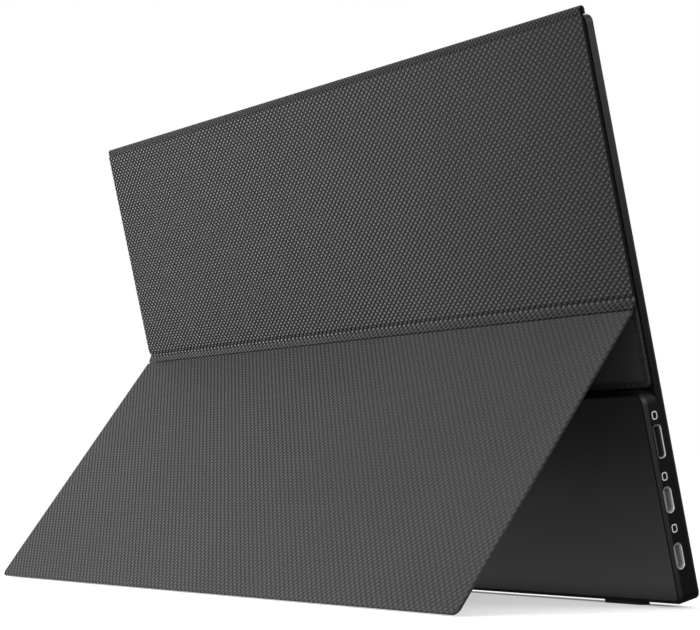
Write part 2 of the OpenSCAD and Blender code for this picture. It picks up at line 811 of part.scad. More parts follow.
// A loudspeaker box that faces the slots in the bottom edge
module speaker(x) {
    depth = ledge_y - slim_t - 2 * speaker_room;
    color("#202225") on_stand() translate([x, chin_mid_y, chin_wall + speaker_gap]) difference() {
        linear_extrude(speaker_h) rotate(90) outline_at(speaker_w, depth, speaker_r);
        translate([0, 0, -1]) linear_extrude(1 + speaker_dent) rotate(90)
            outline_at(speaker_w - 2 * speaker_wall, slot_h, slot_h / 2);
    }
}

module speaker_left() { speaker(-speaker_x); }
module speaker_right() { speaker(speaker_x); }

module board_screws() {
    base = slim_t + 2 * floor_gap;
    color("#a9abae") on_stand() for (p = boss_places())
        translate([p[0], 0, p[1]]) rotate([-90, 0, 0]) {
            translate([0, 0, board_back]) difference() {
                cylinder(h = screw_head_t, r = screw_head_r);
                for (a = [0, 90]) rotate(a) translate([-cross_l / 2, -cross_w / 2, cross_w])
                    cube([cross_l, cross_w, screw_head_t]);
            }
            translate([0, 0, base]) cylinder(h = board_back - base, r = screw_r);
        }
}

// ---- Controls ----

module power_button() {
    cap_x = button_x + button_flange - hair;
    color("#25262a") on_stand() translate([0, chin_mid_y, button_z]) {
        translate([cap_x, 0, 0]) rotate([90, 0, 90]) linear_extrude(half_w + button_out - cap_x)
            outline_at(button_w, button_h, button_h / 2);
        translate([button_x, 0, 0]) rotate([90, 0, 90]) linear_extrude(button_flange)
            outline_at(button_w + 2 * flange_over, button_h + 2 * flange_over, flange_over);
        translate([button_x - post_len, 0, 0]) rotate([0, 90, 0])
            cylinder(h = post_len + hair, r = post_r);
    }
}

// Small push switch in a notch of the control board, its plunger's end at x
module push_switch(x, z) {
    color("#3a3c40") on_stand() translate([x - plunger_len, chin_mid_y, z]) {
        translate([-switch_d, -switch_h / 2, -switch_w / 2]) cube([switch_d, switch_h, switch_w]);
        rotate([0, 90, 0]) cylinder(h = plunger_len, r = post_r);
    }
}

module power_switch() { push_switch(power_switch_x, button_z); }
module dial_switch() { push_switch(dial_switch_x, dial_z); }

// Bracket that carries the dial's pin and slides inwards with it
module dial_bracket() {
    reach = dial_x + pin_r + bracket_past - bracket_x;
    span = dial_t + 2 * bracket_gap;
    color("#3a3c40") on_stand() translate([bracket_x, chin_mid_y, dial_z]) {
        translate([0, -span / 2 - bracket_t, -bracket_w / 2])
            cube([bracket_wall, span + 2 * bracket_t, bracket_w]);
        for (s = [-1, 1]) translate([0, s * (span + bracket_t) / 2 - bracket_t / 2,
            -bracket_w / 2]) cube([reach, bracket_t, bracket_w]);
        translate([dial_x - bracket_x, -span / 2 - hair, 0]) rotate([-90, 0, 0])
            cylinder(h = span + 2 * hair, r = pin_r);
    }
}

// Thumb wheel with a ridged rim, free to turn on the bracket's pin
module menu_dial() {
    color("#25262a") on_stand() translate([dial_x, chin_mid_y - dial_t / 2, dial_z])
        rotate([-90, 0, 0]) difference() {
            union() {
                cylinder(h = dial_t, r = dial_r);
                for (i = [0 : ridge_count - 1]) rotate(i * 360 / ridge_count)
                    translate([dial_r, 0, ridge_in])
                        cylinder(h = dial_t - 2 * ridge_in, r = ridge_r, $fn = 16);
            }
            translate([0, 0, -1]) cylinder(h = dial_t + 2, r = pin_r + pin_gap);
        }
}

// Light guide in the side wall, with its lamp on the control board
module status_light() {
    color("#e8f4ff") on_stand() translate([board_x, chin_mid_y, light_z]) {
        rotate([0, 90, 0]) cylinder(h = half_w - board_x - light_in, r = light_r);
        translate([-lamp_l, board_back - chin_mid_y, -lamp_w / 2]) cube([lamp_l, lamp_t, lamp_w]);
    }
}

// ---- Cover ----

// Skin of a cover panel: a thin sheet, wrapped round a board and turned in as a hem.
// Its outer face lies at depth 0 and its inner face at panel_t.
module panel_skin(w, h, rb, rt) {
    difference() {
        linear_extrude(panel_t) outline(w, h, rb, rt);
        translate([0, wrap_t, skin_t]) linear_extrude(stiff_t)
            outline(w - 2 * wrap_t, h - 2 * wrap_t, max(rb - wrap_t, least_r),
                max(rt - wrap_t, least_r));
        translate([0, hem_w, skin_t]) linear_extrude(panel_t)
            outline(w - 2 * hem_w, h - 2 * hem_w, hem_r, hem_r);
    }
}

// Stiffening board with pockets for its magnets at the given heights
module panel_board(w, h, rb, rt, rows) {
    inset = wrap_t + fit_gap;
    translate([0, 0, skin_t]) linear_extrude(stiff_t) difference() {
        translate([0, inset]) outline(w - 2 * inset, h - 2 * inset, max(rb - inset, least_r),
            max(rt - inset, least_r));
        for (z = rows, x = magnet_places(w)) translate([x, z])
            square([magnet_w + 2 * fit_gap, magnet_h + 2 * fit_gap], center = true);
    }
}

// Lining inside the turned hem
module panel_lining(w, h) {
    inset = hem_w + fit_gap;
    translate([0, inset, skin_t + stiff_t]) linear_extrude(lining_t)
        outline(w - 2 * inset, h - 2 * inset, hem_r - fit_gap, hem_r - fit_gap);
}

module panel_magnets(w, rows) {
    translate([0, 0, skin_t]) linear_extrude(stiff_t) for (z = rows, x = magnet_places(w))
        translate([x, z]) square([magnet_w, magnet_h], center = true);
}

// Middles of the magnets across a panel
function magnet_places(w) = [for (i = [0 : magnet_count - 1])
    (i / (magnet_count - 1) - 0.5) * (w - magnet_w - 2 * magnet_in)];

// Heights of the three panels, without their corners rounded into the folds
attach_h = crease_z - attach_z;
upper_h = crease_z - stiff_z;
upper_rows = [upper_h - magnet_in];
attach_rows = [magnet_in, attach_h - magnet_in];
leg_rows = [magnet_in];

// The clinging panel lies with its skin on the housing and its lining to the back
module on_back() { on_stand() translate([0, 0, attach_z]) behind(slim_t) children(); }

// The upper panel lies on it, lining to lining, with its skin to the back
module on_upper() {
    on_stand() translate([0, outer_y, stiff_z]) rotate([90, 0, 0]) children();
}

// The leg hangs from the fold and swings out to the table
module on_leg() {
    on_stand() translate([0, fold_y, fold_z]) rotate([fold_a, 0, 0])
        translate([0, 0, -leg_len]) rotate([90, 0, 0]) children();
}

module attach_skin() {
    color("#4a4b4e") on_back() panel_skin(attach_w, attach_h, panel_r, panel_r);
}

module attach_board() {
    color("#8d8577") on_back() panel_board(attach_w, attach_h, panel_r, panel_r, attach_rows);
}

module attach_lining() {
    color("#242426") on_back() panel_lining(attach_w, attach_h);
}

module attach_magnets() {
    color("#9fa2a6") on_back() panel_magnets(attach_w, attach_rows);
}

// Bare spine, folded back on itself into a narrow arch above the two panels
module spine_fold() {
    r = spine_w / 2;
    inner = r - web_t;
    color("#56575b") on_stand() across(-panel_w / 2, panel_w) translate([slim_t + r, 0])
        difference() {
            union() {
                translate([-r, crease_z]) square([2 * r, spine_h - r]);
                translate([0, spine_top - r]) circle(r);
            }
            translate([-inner, crease_z - 1]) square([2 * inner, spine_h - r + 1]);
            translate([0, spine_top - r]) circle(inner);
            translate([r - web_t / 2, crease_z - 1]) square([web_t, 1 + crease_w]);
        }
}

// Bare material between the upper panel and the fold: a pressed groove, then a bulge
module fold_strip() {
    across(-panel_w / 2, panel_w) translate([outer_y, fold_z]) {
        translate([-strip_y - skin_t, bulge_rise]) square([skin_t, fold_h - bulge_rise + hair]);
        intersection() {
            translate([0, bulge_rise]) circle(bulge_r);
            translate([-strip_y - skin_t, 0]) square([2 * bulge_r, 2 * bulge_r]);
        }
    }
}

module upper_skin() {
    color("#4f5053") on_upper() panel_skin(panel_w, upper_h, fold_r, fold_r);
    color("#4f5053") on_stand() fold_strip();
}

module upper_board() {
    color("#8d8577") on_upper() panel_board(panel_w, upper_h, fold_r, fold_r, upper_rows);
}

module upper_lining() {
    color("#242426") on_upper() panel_lining(panel_w, upper_h);
}

module upper_magnets() {
    color("#9fa2a6") on_upper() panel_magnets(panel_w, upper_rows);
}

// Bare material on the inside of the fold, bent round the fold's line
module fold_web() {
    r = web_in + skin_t;
    color("#3c3d40") on_stand() across(-panel_w / 2, panel_w) translate([fold_y, fold_z])
        intersection() {
            difference() {
                circle(r);
                circle(web_in);
            }
            polygon([[0, 0], [-2 * r, 0], [-2 * r, -2 * r * tan(fold_a / 2)],
                [-2 * r * cos(fold_a), -2 * r * sin(fold_a)]]);
        }
}

module leg_skin() {
    color("#5d5e62") on_leg() panel_skin(panel_w, leg_len, leg_r, fold_r);
}

module leg_board() {
    color("#8d8577") on_leg() panel_board(panel_w, leg_len, leg_r, fold_r, leg_rows);
}

module leg_lining() {
    color("#242426") on_leg() panel_lining(panel_w, leg_len);
}

module leg_magnets() {
    color("#9fa2a6") on_leg() panel_magnets(panel_w, leg_rows);
}

front_frame();
lcd_cell();
optical_films();
light_guide();
reflector_sheet();
backlight_frame();
led_strip();
panel_driver_board();
panel_tape();
holding_plate();
rear_housing();
chin_cover();
main_board();
board_chips();
chip_shield();
thermal_pad();
panel_cable();
key_cable();
speaker_wires();
video_socket();
data_socket_upper();
data_socket_lower();
audio_socket();
key_board();
power_switch();
power_button();
dial_switch();
dial_bracket();
menu_dial();
status_light();
speaker_left();
speaker_right();
board_screws();
foot_left();
foot_right();
attach_skin();
attach_board();
attach_lining();
attach_magnets();
spine_fold();
upper_skin();
upper_board();
upper_lining();
upper_magnets();
fold_web();
leg_skin();
leg_board();
leg_lining();
leg_magnets();
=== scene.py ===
"""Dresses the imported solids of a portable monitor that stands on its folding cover."""

import logging
import math
from collections.abc import Callable
from dataclasses import dataclass
from enum import Enum

import bmesh
import bpy
from mathutils import Matrix, Vector


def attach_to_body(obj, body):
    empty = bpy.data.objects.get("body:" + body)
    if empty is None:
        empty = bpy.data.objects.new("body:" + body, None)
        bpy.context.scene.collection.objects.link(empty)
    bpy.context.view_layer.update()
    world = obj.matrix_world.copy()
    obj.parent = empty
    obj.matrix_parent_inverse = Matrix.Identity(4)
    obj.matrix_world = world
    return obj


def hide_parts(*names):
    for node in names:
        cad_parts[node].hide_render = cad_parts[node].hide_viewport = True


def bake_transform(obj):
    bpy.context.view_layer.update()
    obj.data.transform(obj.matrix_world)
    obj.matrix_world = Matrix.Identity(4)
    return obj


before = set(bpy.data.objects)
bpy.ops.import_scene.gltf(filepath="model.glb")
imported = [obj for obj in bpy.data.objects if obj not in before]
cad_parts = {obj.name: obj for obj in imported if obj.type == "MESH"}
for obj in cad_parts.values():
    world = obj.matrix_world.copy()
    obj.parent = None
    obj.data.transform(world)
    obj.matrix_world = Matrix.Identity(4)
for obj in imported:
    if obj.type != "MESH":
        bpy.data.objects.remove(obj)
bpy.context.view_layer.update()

LOG = logging.getLogger("portable_monitor")
Point = tuple[float, float]
Triple = tuple[float, float, float]
Colour = Triple

MM = 0.001  # one millimetre in metres
MERGE = 1e-4  # vertices nearer than this, in millimetres, become one
TINY = 1e-6  # lengths under this count as nothing
SHARP = math.radians(40.0)  # edges that turn by less look smooth
STRAIGHT = 0.99  # share of a direction along an axis that counts as all of it
MOSTLY = 0.5  # share from which a face counts as facing an axis
SQUARE = 0.2  # share that two normals may have in common at a right-angled edge
NOISE_LOW, NOISE_HIGH = 0.3, 0.7  # where nearly all of a noise's values lie
CELL: Point = (3.155, 2.538)  # one embossed diamond, in millimetres
NARROW = 0.45  # the pads' width where the grooves are narrow, as a share of a wave
WHITE: Colour = (1.0, 1.0, 1.0)


class Body(Enum):
    """The bodies that pieces ride on."""

    MONITOR = "monitor"
    UPPER = "upper_panel"
    LEG = "leg"


def grey(level: float) -> Colour:
    """A neutral colour.

    Args:
        level: The level that a screen shows, 0 to 255.

    Returns:
        The linear colour.
    """
    c = level / 255
    linear = c / 12.92 if c <= 0.04045 else ((c + 0.055) / 1.055) ** 2.4
    return (linear, linear, linear)


def shaded(colour: Colour, factor: float) -> Colour:
    """A colour made darker or lighter by a factor."""
    return tuple(c * factor for c in colour)


def add_object(name: str, data: bpy.types.ID) -> bpy.types.Object:
    """Makes an object of some data and links it to the scene.

    Args:
        name: The object's name.
        data: Its mesh, light or camera.

    Returns:
        The new object.
    """
    obj = bpy.data.objects.new(name, data)
    bpy.context.scene.collection.objects.link(obj)
    return obj


@dataclass(frozen=True)
class Layout:
    """Sizes that the pieces share, in millimetres, and the stance of the leaning monitor."""

    # The monitor and its feet; names that end in _c are chamfers.
    body_w: float = 356.0
    body_t: float = 9.6
    slim_t: float = 3.6
    chin_h: float = 78.0
    edge_c: float = 1.2
    front_c: float = 0.4
    foot_margin: float = 0.3
    foot_drop: float = 1.4
    lean: float = math.radians(14)
    # The cover's panels.
    panel_w: float = 358.0
    attach_w: float = 354.6
    attach_z: float = 78.4
    skin_t: float = 0.4
    panel_t: float = 1.3
    panel_gap: float = 0.2
    hem_w: float = 2.5
    # The spine over the top edge, and the fold above the leg.
    spine_top: float = 215.0
    spine_h: float = 3.1
    web_t: float = 0.6
    fold_z: float = 107.1
    fold_out: float = 1.8
    fold_h: float = 5.6
    strip_y: float = 0.6
    web_in: float = 0.9
    leg_len: float = 130.0

    @property
    def outer_y(self) -> float:
        """Depth of the upper panel's outer face."""
        return self.slim_t + 2 * self.panel_t + self.panel_gap

    @property
    def fold_y(self) -> float:
        """Depth of the leg's fold."""
        return self.outer_y + self.fold_out

    @property
    def crease_z(self) -> float:
        """Height of the panels' top edges, where the spine starts."""
        return self.spine_top - self.spine_h

    @property
    def stiff_z(self) -> float:
        """Height of the upper panel's stiff bottom edge."""
        return self.fold_z + self.fold_h

    @property
    def spine_r(self) -> float:
        """Outer radius of the folded spine."""
        return (self.outer_y - self.slim_t) / 2

    @property
    def stand_z(self) -> float:
        """Height of the monitor's bottom front corner above the table."""
        back = self.body_t - self.edge_c - self.foot_margin
        return back * math.sin(self.lean) + self.foot_drop * math.cos(self.lean)

    @property
    def leg_angle(self) -> float:
        """Angle between the leg and the vertical, with its bottom edge on the table."""
        up = (self.stand_z + self.fold_z * math.cos(self.lean)
              - self.fold_y * math.sin(self.lean))
        reach = math.hypot(self.leg_len, self.panel_t)
        return math.acos(up / reach) + math.atan(self.panel_t / self.leg_len)

    @property
    def mid_y(self) -> float:
        """Distance of the whole outline's middle behind the monitor's bottom front edge."""
        end = (self.fold_y * math.cos(self.lean) + self.fold_z * math.sin(self.lean)
               + self.leg_len * math.sin(self.leg_angle))
        return (self.front_c * math.sin(self.lean) + end) / 2

    def plate(self) -> Matrix:
        """The transform from plate coordinates in millimetres to the scene in metres.

        Returns:
            The transform of x, then depth from the screen's face, then height along the
            leaning plate.
        """
        lean = Matrix.Rotation(-self.lean, 4, "X")
        place = Matrix.Translation((0, -self.mid_y, self.stand_z))
        return Matrix.Scale(MM, 4) @ place @ lean

    def leg(self) -> Matrix:
        """The transform from leg coordinates in millimetres to the scene in metres.

        Returns:
            The transform of x, then depth outwards from the outer face, then height above
            the leg's bottom edge.
        """
        turn = Matrix.Rotation(self.leg_angle + self.lean, 4, "X")
        hinge = Matrix.Translation((0, self.fold_y, self.fold_z))
        drop = Matrix.Translation((0, 0, -self.leg_len))
        return self.plate() @ hinge @ turn @ drop

    def at(self, x: float, depth: float, height: float) -> Vector:
        """A point of the plate in the scene."""
        return self.plate() @ Vector((x, depth, height))


LAYOUT = Layout()


class Shape:
    """A mesh under construction, in millimetres, in the plate's or the leg's own axes."""

    def __init__(self) -> None:
        """Starts an empty mesh."""
        self.bm = bmesh.new()

    def box(self, low: Triple, high: Triple) -> None:
        """Adds a box.

        Args:
            low: Its corner with the lowest coordinates.
            high: Its corner with the highest.
        """
        a, b = Vector(low), Vector(high)
        made = bmesh.ops.create_cube(self.bm, size=1)["verts"]
        bmesh.ops.scale(self.bm, vec=b - a, verts=made)
        bmesh.ops.translate(self.bm, vec=(a + b) / 2, verts=made)

    def round_edges(self, edges: list[bmesh.types.BMEdge], radius: float,
                    steps: int = 3) -> None:
        """Rounds edges.

        Args:
            edges: The edges.
            radius: The rounding's radius.
            steps: How many facets it gets.
        """
        bmesh.ops.bevel(self.bm, geom=edges, offset=radius, offset_type="OFFSET",
                        segments=steps, profile=0.5, affect="EDGES", material=-1,
                        clamp_overlap=True)

    def depth_edges(self, below: float = math.inf) -> list[bmesh.types.BMEdge]:
        """The edges that run straight through the thickness.

        Args:
            below: The height under which they are wanted.

        Returns:
            The edges.
        """
        found = []
        for e in self.bm.edges:
            a, b = (v.co for v in e.verts)
            if (b - a).length > TINY and abs((b - a).normalized().y) > STRAIGHT:
                if ((a + b) / 2).z < below:
                    found.append(e)
        return found

    def outline(self, turn: str, size: Triple, middle: Triple,
                radii: tuple[float, ...]) -> list[bmesh.types.BMEdge]:
        """Draws a rounded outline with no face in it.

        Args:
            turn: The axis, X or Y, that a square lying flat is turned about, so that it
                faces the back or a side.
            size: Its size along each axis, with 1 for the one it faces.
            middle: Its middle.
            radii: One radius for every corner, or that of the lower two and of the upper.

        Returns:
            The outline's edges.
        """
        bm = self.bm
        made = bmesh.ops.create_grid(bm, x_segments=1, y_segments=1, size=0.5)["verts"]
        bmesh.ops.rotate(bm, cent=(0, 0, 0), verts=made,
                         matrix=Matrix.Rotation(math.radians(90), 3, turn))
        bmesh.ops.scale(bm, vec=size, verts=made)
        bmesh.ops.translate(bm, vec=middle, verts=made)
        ends = [made] if len(radii) == 1 else [
            [v for v in made if (v.co.z < middle[2]) == lower] for lower in (True, False)]
        for corners, radius in zip(ends, radii):
            bmesh.ops.bevel(bm, geom=corners, offset=radius, offset_type="OFFSET",
                            segments=8, profile=0.5, affect="VERTICES", material=-1)
        face = max(bm.faces, key=lambda f: f.calc_area())
        edges = list(face.edges)
        bmesh.ops.delete(bm, geom=[face], context="FACES_ONLY")
        return edges

    def bridge(self, rings: list[list[bmesh.types.BMEdge]]) -> None:
        """Joins each outline to the next with faces."""
        for a, b in zip(rings, rings[1:]):
            bmesh.ops.bridge_loops(self.bm, edges=a + b)

    def thicken(self, step: Triple) -> None:
        """Makes flat faces solid by a step away from their plane."""
        grown = bmesh.ops.extrude_face_region(self.bm, geom=list(self.bm.faces))["geom"]
        verts = [g for g in grown if isinstance(g, bmesh.types.BMVert)]
        bmesh.ops.translate(self.bm, vec=step, verts=verts)

    def finish(self, name: str, matrix: Matrix,
               uv: Callable[[Vector, Vector], Point] | None = None) -> bpy.types.Object:
        """Moves the mesh to its place and makes it an object at the origin.

        Args:
            name: The piece's name.
            matrix: The transform from the mesh's own axes to the scene.
            uv: A function from a vertex's own place and a face's normal to a pattern place
                in millimetres, or None.

        Returns:
            The new object.
        """
        bm = self.bm
        bmesh.ops.remove_doubles(bm, verts=bm.verts, dist=MERGE)
        bmesh.ops.recalc_face_normals(bm, faces=bm.faces)
        if uv is not None:
            layer = bm.loops.layers.uv.new("Cloth")
            bm.normal_update()
            for face in bm.faces:
                for loop in face.loops:
                    loop[layer].uv = uv(loop.vert.co, face.normal)
        bmesh.ops.transform(bm, matrix=matrix, verts=bm.verts)
        mesh = bpy.data.meshes.new(name)
        bm.to_mesh(mesh)
        bm.free()
        mesh.shade_smooth()
        mesh.set_sharp_from_angle(angle=SHARP)
        return add_object(name, mesh)


class Pen:
    """Draws a side profile as (depth, height) with mesh operators, then sweeps it across."""

    def __init__(self, start: Point) -> None:
        """Puts the pen down at a point."""
        self.shape = Shape()
        self.path: list[Vector] = []
        self.tip = self.shape.bm.verts.new((0, *start))

    def line(self, *points: Point) -> "Pen":
        """Draws straight lines.

        Args:
            *points: The points to draw to, in turn.

        Returns:
            The pen.
        """
        for point in points:
            made = bmesh.ops.extrude_vert_indiv(self.shape.bm, verts=[self.tip])["verts"][0]
            made.co = Vector((0, *point))
            self.tip = made
        return self

    def arc(self, centre: Point, degrees: float, steps: int = 8) -> "Pen":
        """Draws an arc.

        Args:
            centre: The point it turns about.
            degrees: Its angle; a positive one turns from depth towards height.
            steps: How many facets it gets.

        Returns:
            The pen.
        """
        made = bmesh.ops.spin(self.shape.bm, geom=[self.tip], cent=(0, *centre),
                              axis=(1, 0, 0), angle=math.radians(degrees), steps=steps,
                              use_merge=False, use_duplicate=False)["geom_last"]
        self.tip = next(v for v in made if isinstance(v, bmesh.types.BMVert))
        return self

    def slope(self, tilt: float, length: float) -> "Pen":
        """Draws a line down a face whose normal is tilted up by some degrees."""
        a = math.radians(tilt)
        tip = self.tip.co
        return self.line((tip.y + length * math.sin(a), tip.z - length * math.cos(a)))

    def bend(self, radius: float, tilt: float, to: float, steps: int) -> "Pen":
        """Bends the face on from one tilt to another.

        Args:
            radius: The bend's radius; a negative one makes it hollow.
            tilt: The face's tilt at its start, in degrees.
            to: The tilt at its end.
            steps: How many facets it gets.

        Returns:
            The pen.
        """
        a = math.radians(tilt)
        tip = self.tip.co
        centre = (tip.y - radius * math.cos(a), tip.z - radius * math.sin(a))
        return self.arc(centre, to - tilt, steps)

    def along(self, co: Vector) -> float:
        """How far along the drawn profile a point lies.

        Args:
            co: The point.

        Returns:
            The length of the profile up to the place on it that is nearest to the point.
        """
        best, found, gone = math.inf, 0.0, 0.0
        for a, b in zip(self.path, self.path[1:]):
            step = b - a
            share = (Vector(co.yz) - a).dot(step) / max(step.length_squared, TINY * TINY)
            share = min(max(share, 0.0), 1.0)
            away = (Vector(co.yz) - a - step * share).length
            if away < best - TINY:
                best, found = away, gone + step.length * share
            gone += step.length
        return found

    def sweep(self, half: float, soften: float) -> Shape:
        """Closes the profile and sweeps it across.

        Args:
            half: How far it reaches to each side of the middle.
            soften: The radius of its two ends' edges.

        Returns:
            The swept shape.
        """
        bm = self.shape.bm
        self.path = [Vector(v.co.yz) for v in bm.verts]
        bmesh.ops.remove_doubles(bm, verts=bm.verts, dist=MERGE)
        face = bmesh.ops.contextual_create(bm, geom=list(bm.edges))["faces"]
        bmesh.ops.translate(bm, vec=(-half, 0, 0), verts=bm.verts)
        moved = bmesh.ops.extrude_face_region(bm, geom=face, use_keep_orig=True)["geom"]
        far = [g for g in moved if isinstance(g, bmesh.types.BMVert)]
        bmesh.ops.translate(bm, vec=(2 * half, 0, 0), verts=far)
        bmesh.ops.recalc_face_normals(bm, faces=bm.faces)
        ends = [e for e in bm.edges if abs(e.verts[0].co.x - e.verts[1].co.x) < TINY]
        self.shape.round_edges(ends, soften)
        return self.shape


class Tree:
    """A thin wrapper that adds and joins shader nodes."""

    def __init__(self, tree: bpy.types.NodeTree) -> None:
        """Wraps a node tree."""
        self.tree = tree

    def join(self, node: bpy.types.Node, **inputs: object) -> None:
        """Sets or joins a node's inputs.

        Args:
            node: The node.
            **inputs: Values or sockets; _0, _1 and so on go by number, and an input's name
                has _ for each space.
        """
        for key, value in inputs.items():
            slot = node.inputs[int(key[1:]) if key[0] == "_" else key.replace("_", " ")]
            if isinstance(value, bpy.types.NodeSocket):
                self.tree.links.new(value, slot)
            elif slot.type == "RGBA":
                slot.default_value = (*value, 1.0)
            else:
                slot.default_value = value

    def add(self, kind: str, settings: dict[str, object] | None = None,
            **inputs: object) -> bpy.types.Node:
        """Adds a node.

        Args:
            kind: The node's type without its ShaderNode prefix.
            settings: Properties of the node.
            **inputs: What join takes.

        Returns:
            The node.
        """
        node = self.tree.nodes.new("ShaderNode" + kind)
        for key, value in (settings or {}).items():
            setattr(node, key, value)
        self.join(node, **inputs)
        return node

    def group(self, name: str, **inputs: object) -> bpy.types.Node:
        """Adds a shared group by its name, with the inputs that join takes."""
        return self.add("Group", {"node_tree": Group.made[name]}, **inputs)

    def place(self) -> bpy.types.NodeSocket:
        """Object coordinates."""
        return self.add("TexCoord").outputs["Object"]

    def maths(self, operation: str, *values: object) -> bpy.types.NodeSocket:
        """A Math node's result."""
        inputs = {f"_{i}": v for i, v in enumerate(values)}
        return self.add("Math", {"operation": operation}, **inputs).outputs[0]

    def dot(self, vector: bpy.types.NodeSocket, way: Triple) -> bpy.types.NodeSocket:
        """How far a vector points one way."""
        return self.add("VectorMath", {"operation": "DOT_PRODUCT"}, _0=vector,
                        _1=way).outputs["Value"]

    def mix(self, factor: object, a: object, b: object) -> bpy.types.NodeSocket:
        """A mix of two colours."""
        return self.add("Mix", {"data_type": "RGBA"}, _0=factor, _6=a, _7=b).outputs[2]

    def mix_shaders(self, factor: bpy.types.NodeSocket, a: bpy.types.Node,
                    b: bpy.types.Node) -> bpy.types.Node:
        """A mix of two shaders."""
        return self.add("MixShader", _0=factor, _1=a.outputs[0], _2=b.outputs[0])

    def between(self, value: bpy.types.NodeSocket, low: object, high: object,
                out_low: float = 0.0, out_high: float = 1.0,
                smooth: bool = True) -> bpy.types.NodeSocket:
        """Carries a value from one range to another and holds it at the ends.

        Args:
            value: The value.
            low: Where its range starts.
            high: Where its range ends.
            out_low: What the start becomes.
            out_high: What the end becomes.
            smooth: Whether it leaves and reaches the ends gently.

        Returns:
            The result.
        """
        kind = "SMOOTHSTEP" if smooth else "LINEAR"
        node = self.add("MapRange", {"interpolation_type": kind, "clamp": True}, _0=value,
                        _1=low, _2=high, _3=out_low, _4=out_high)
        return node.outputs[0]

    def spread(self, noise: bpy.types.NodeSocket, low: float = 0.0,
               high: float = 1.0) -> bpy.types.NodeSocket:
        """A noise, which gathers round one half, stretched from low to high."""
        return self.between(noise, NOISE_LOW, NOISE_HIGH, low, high)


def fresh_tree(owner: bpy.types.Material | bpy.types.World) -> Tree:
    """Switches the nodes of a material or a world on and empties them."""
    owner.use_nodes = True
    owner.node_tree.nodes.clear()
    return Tree(owner.node_tree)


class Group:
    """A shared node group with named inputs and outputs."""

    made: dict[str, bpy.types.NodeTree] = {}

    def __init__(self, name: str, inputs: list[tuple[str, str, float | None]],
                 outputs: list[str]) -> None:
        """Makes the group's interface.

        Args:
            name: The group's name.
            inputs: The label, kind and starting value of each input.
            outputs: The label of each output, all of them plain values.
        """
        self.tree = bpy.data.node_groups.new(name, "ShaderNodeTree")
        for label, kind, default in inputs:
            socket = self.tree.interface.new_socket(label, in_out="INPUT",
                                                    socket_type="NodeSocket" + kind)
            if default is not None:
                socket.default_value = default
        for label in outputs:
            self.tree.interface.new_socket(label, in_out="OUTPUT",
                                           socket_type="NodeSocketFloat")
        self.nodes = Tree(self.tree)
        self.source = self.tree.nodes.new("NodeGroupInput").outputs
        self.sink = self.tree.nodes.new("NodeGroupOutput").inputs
        Group.made[name] = self.tree

    def out(self, label: str, value: bpy.types.NodeSocket) -> None:
        """Joins a value to an output."""
        self.tree.links.new(value, self.sink[label])


@dataclass(frozen=True)
class Emboss:
    """Diamonds pressed into a coated cloth, from pattern coordinates in millimetres."""

    warp_scale: float = 0.35
    warp: Triple = (0.04, 0.04, 0.0)
    pad_soft: float = 0.45
    line_from: float = 0.55
    fleck_scale: float = 2.2
    fleck_rough: float = 0.6

    def build(self) -> None:
        """Makes the group: two crossing waves, cut into raised pads or a raised net."""
        g = Group("Diamond emboss",
                  [("Vector", "Vector", None), ("Cell width", "Float", CELL[0]),
                   ("Cell height", "Float", CELL[1]), ("Across", "Float", 1.0),
                   ("Net", "Float", 0.0), ("Cross", "Float", 1.0),
                   ("Width", "Float", NARROW)],
                  ["Height", "Dome", "Groove", "Speckle"])
        n, s = g.nodes, g.source
        warp = n.add("TexNoise", {"noise_dimensions": "2D"}, Vector=s["Vector"],
                     Scale=self.warp_scale, Detail=1.0)
        wobble = n.add("VectorMath", {"operation": "MULTIPLY_ADD"},
                       _0=warp.outputs["Color"], _1=self.warp, _2=s["Vector"])
        split = n.add("SeparateXYZ", _0=wobble.outputs[0])
        u = n.maths("DIVIDE", split.outputs[0], s["Cell width"])
        v = n.maths("DIVIDE", split.outputs[1], s["Cell height"])
        waves, pads, lines = [], [], []
        for sign in ("ADD", "SUBTRACT"):
            phase = n.maths("MULTIPLY", n.maths(sign, u, v), 2 * math.pi)
            wave = n.maths("MULTIPLY_ADD", n.maths("COSINE", phase), 0.5, 0.5)
            waves.append(wave)
            pads.append(n.between(wave, n.maths("SUBTRACT", s["Width"], self.pad_soft),
                                  s["Width"]))
            lines.append(n.between(wave, self.line_from, 1.0))
        cut = n.maths("MULTIPLY_ADD", n.maths("SUBTRACT", pads[1], 1.0), s["Across"], 1.0)
        pad = n.maths("MULTIPLY", pads[0], cut)
        net = n.maths("MAXIMUM", lines[0], n.maths("MULTIPLY", lines[1], s["Cross"]))
        height = n.maths("MULTIPLY_ADD", n.maths("SUBTRACT", net, pad), s["Net"], pad)
        fleck = n.add("TexNoise", {"noise_dimensions": "2D"}, Vector=s["Vector"],
                      Scale=self.fleck_scale, Detail=2.0, Roughness=self.fleck_rough)
        g.out("Height", height)
        g.out("Dome", n.maths("SQRT", n.maths("MULTIPLY", waves[0], waves[1])))
        g.out("Groove", n.maths("SUBTRACT", 1.0, height))
        g.out("Speckle", fleck.outputs[0])


@dataclass(frozen=True)
class Grain:
    """Fine two-scale grain for paint, plastic and rubber, from object coordinates."""

    rough: float = 0.65

    def build(self) -> None:
        """Makes the group: a fine grain and soft patches."""
        g = Group("Fine grain",
                  [("Vector", "Vector", None), ("Scale", "Float", 1500.0),
                   ("Patch scale", "Float", 25.0)], ["Grain", "Patch"])
        n, s = g.nodes, g.source
        fine = n.add("TexNoise", Vector=s["Vector"], Scale=s["Scale"], Detail=3.0,
                     Roughness=self.rough)
        patch = n.add("TexNoise", Vector=s["Vector"], Scale=s["Patch scale"], Detail=2.0)
        g.out("Grain", fine.outputs[0])
        g.out("Patch", patch.outputs[0])


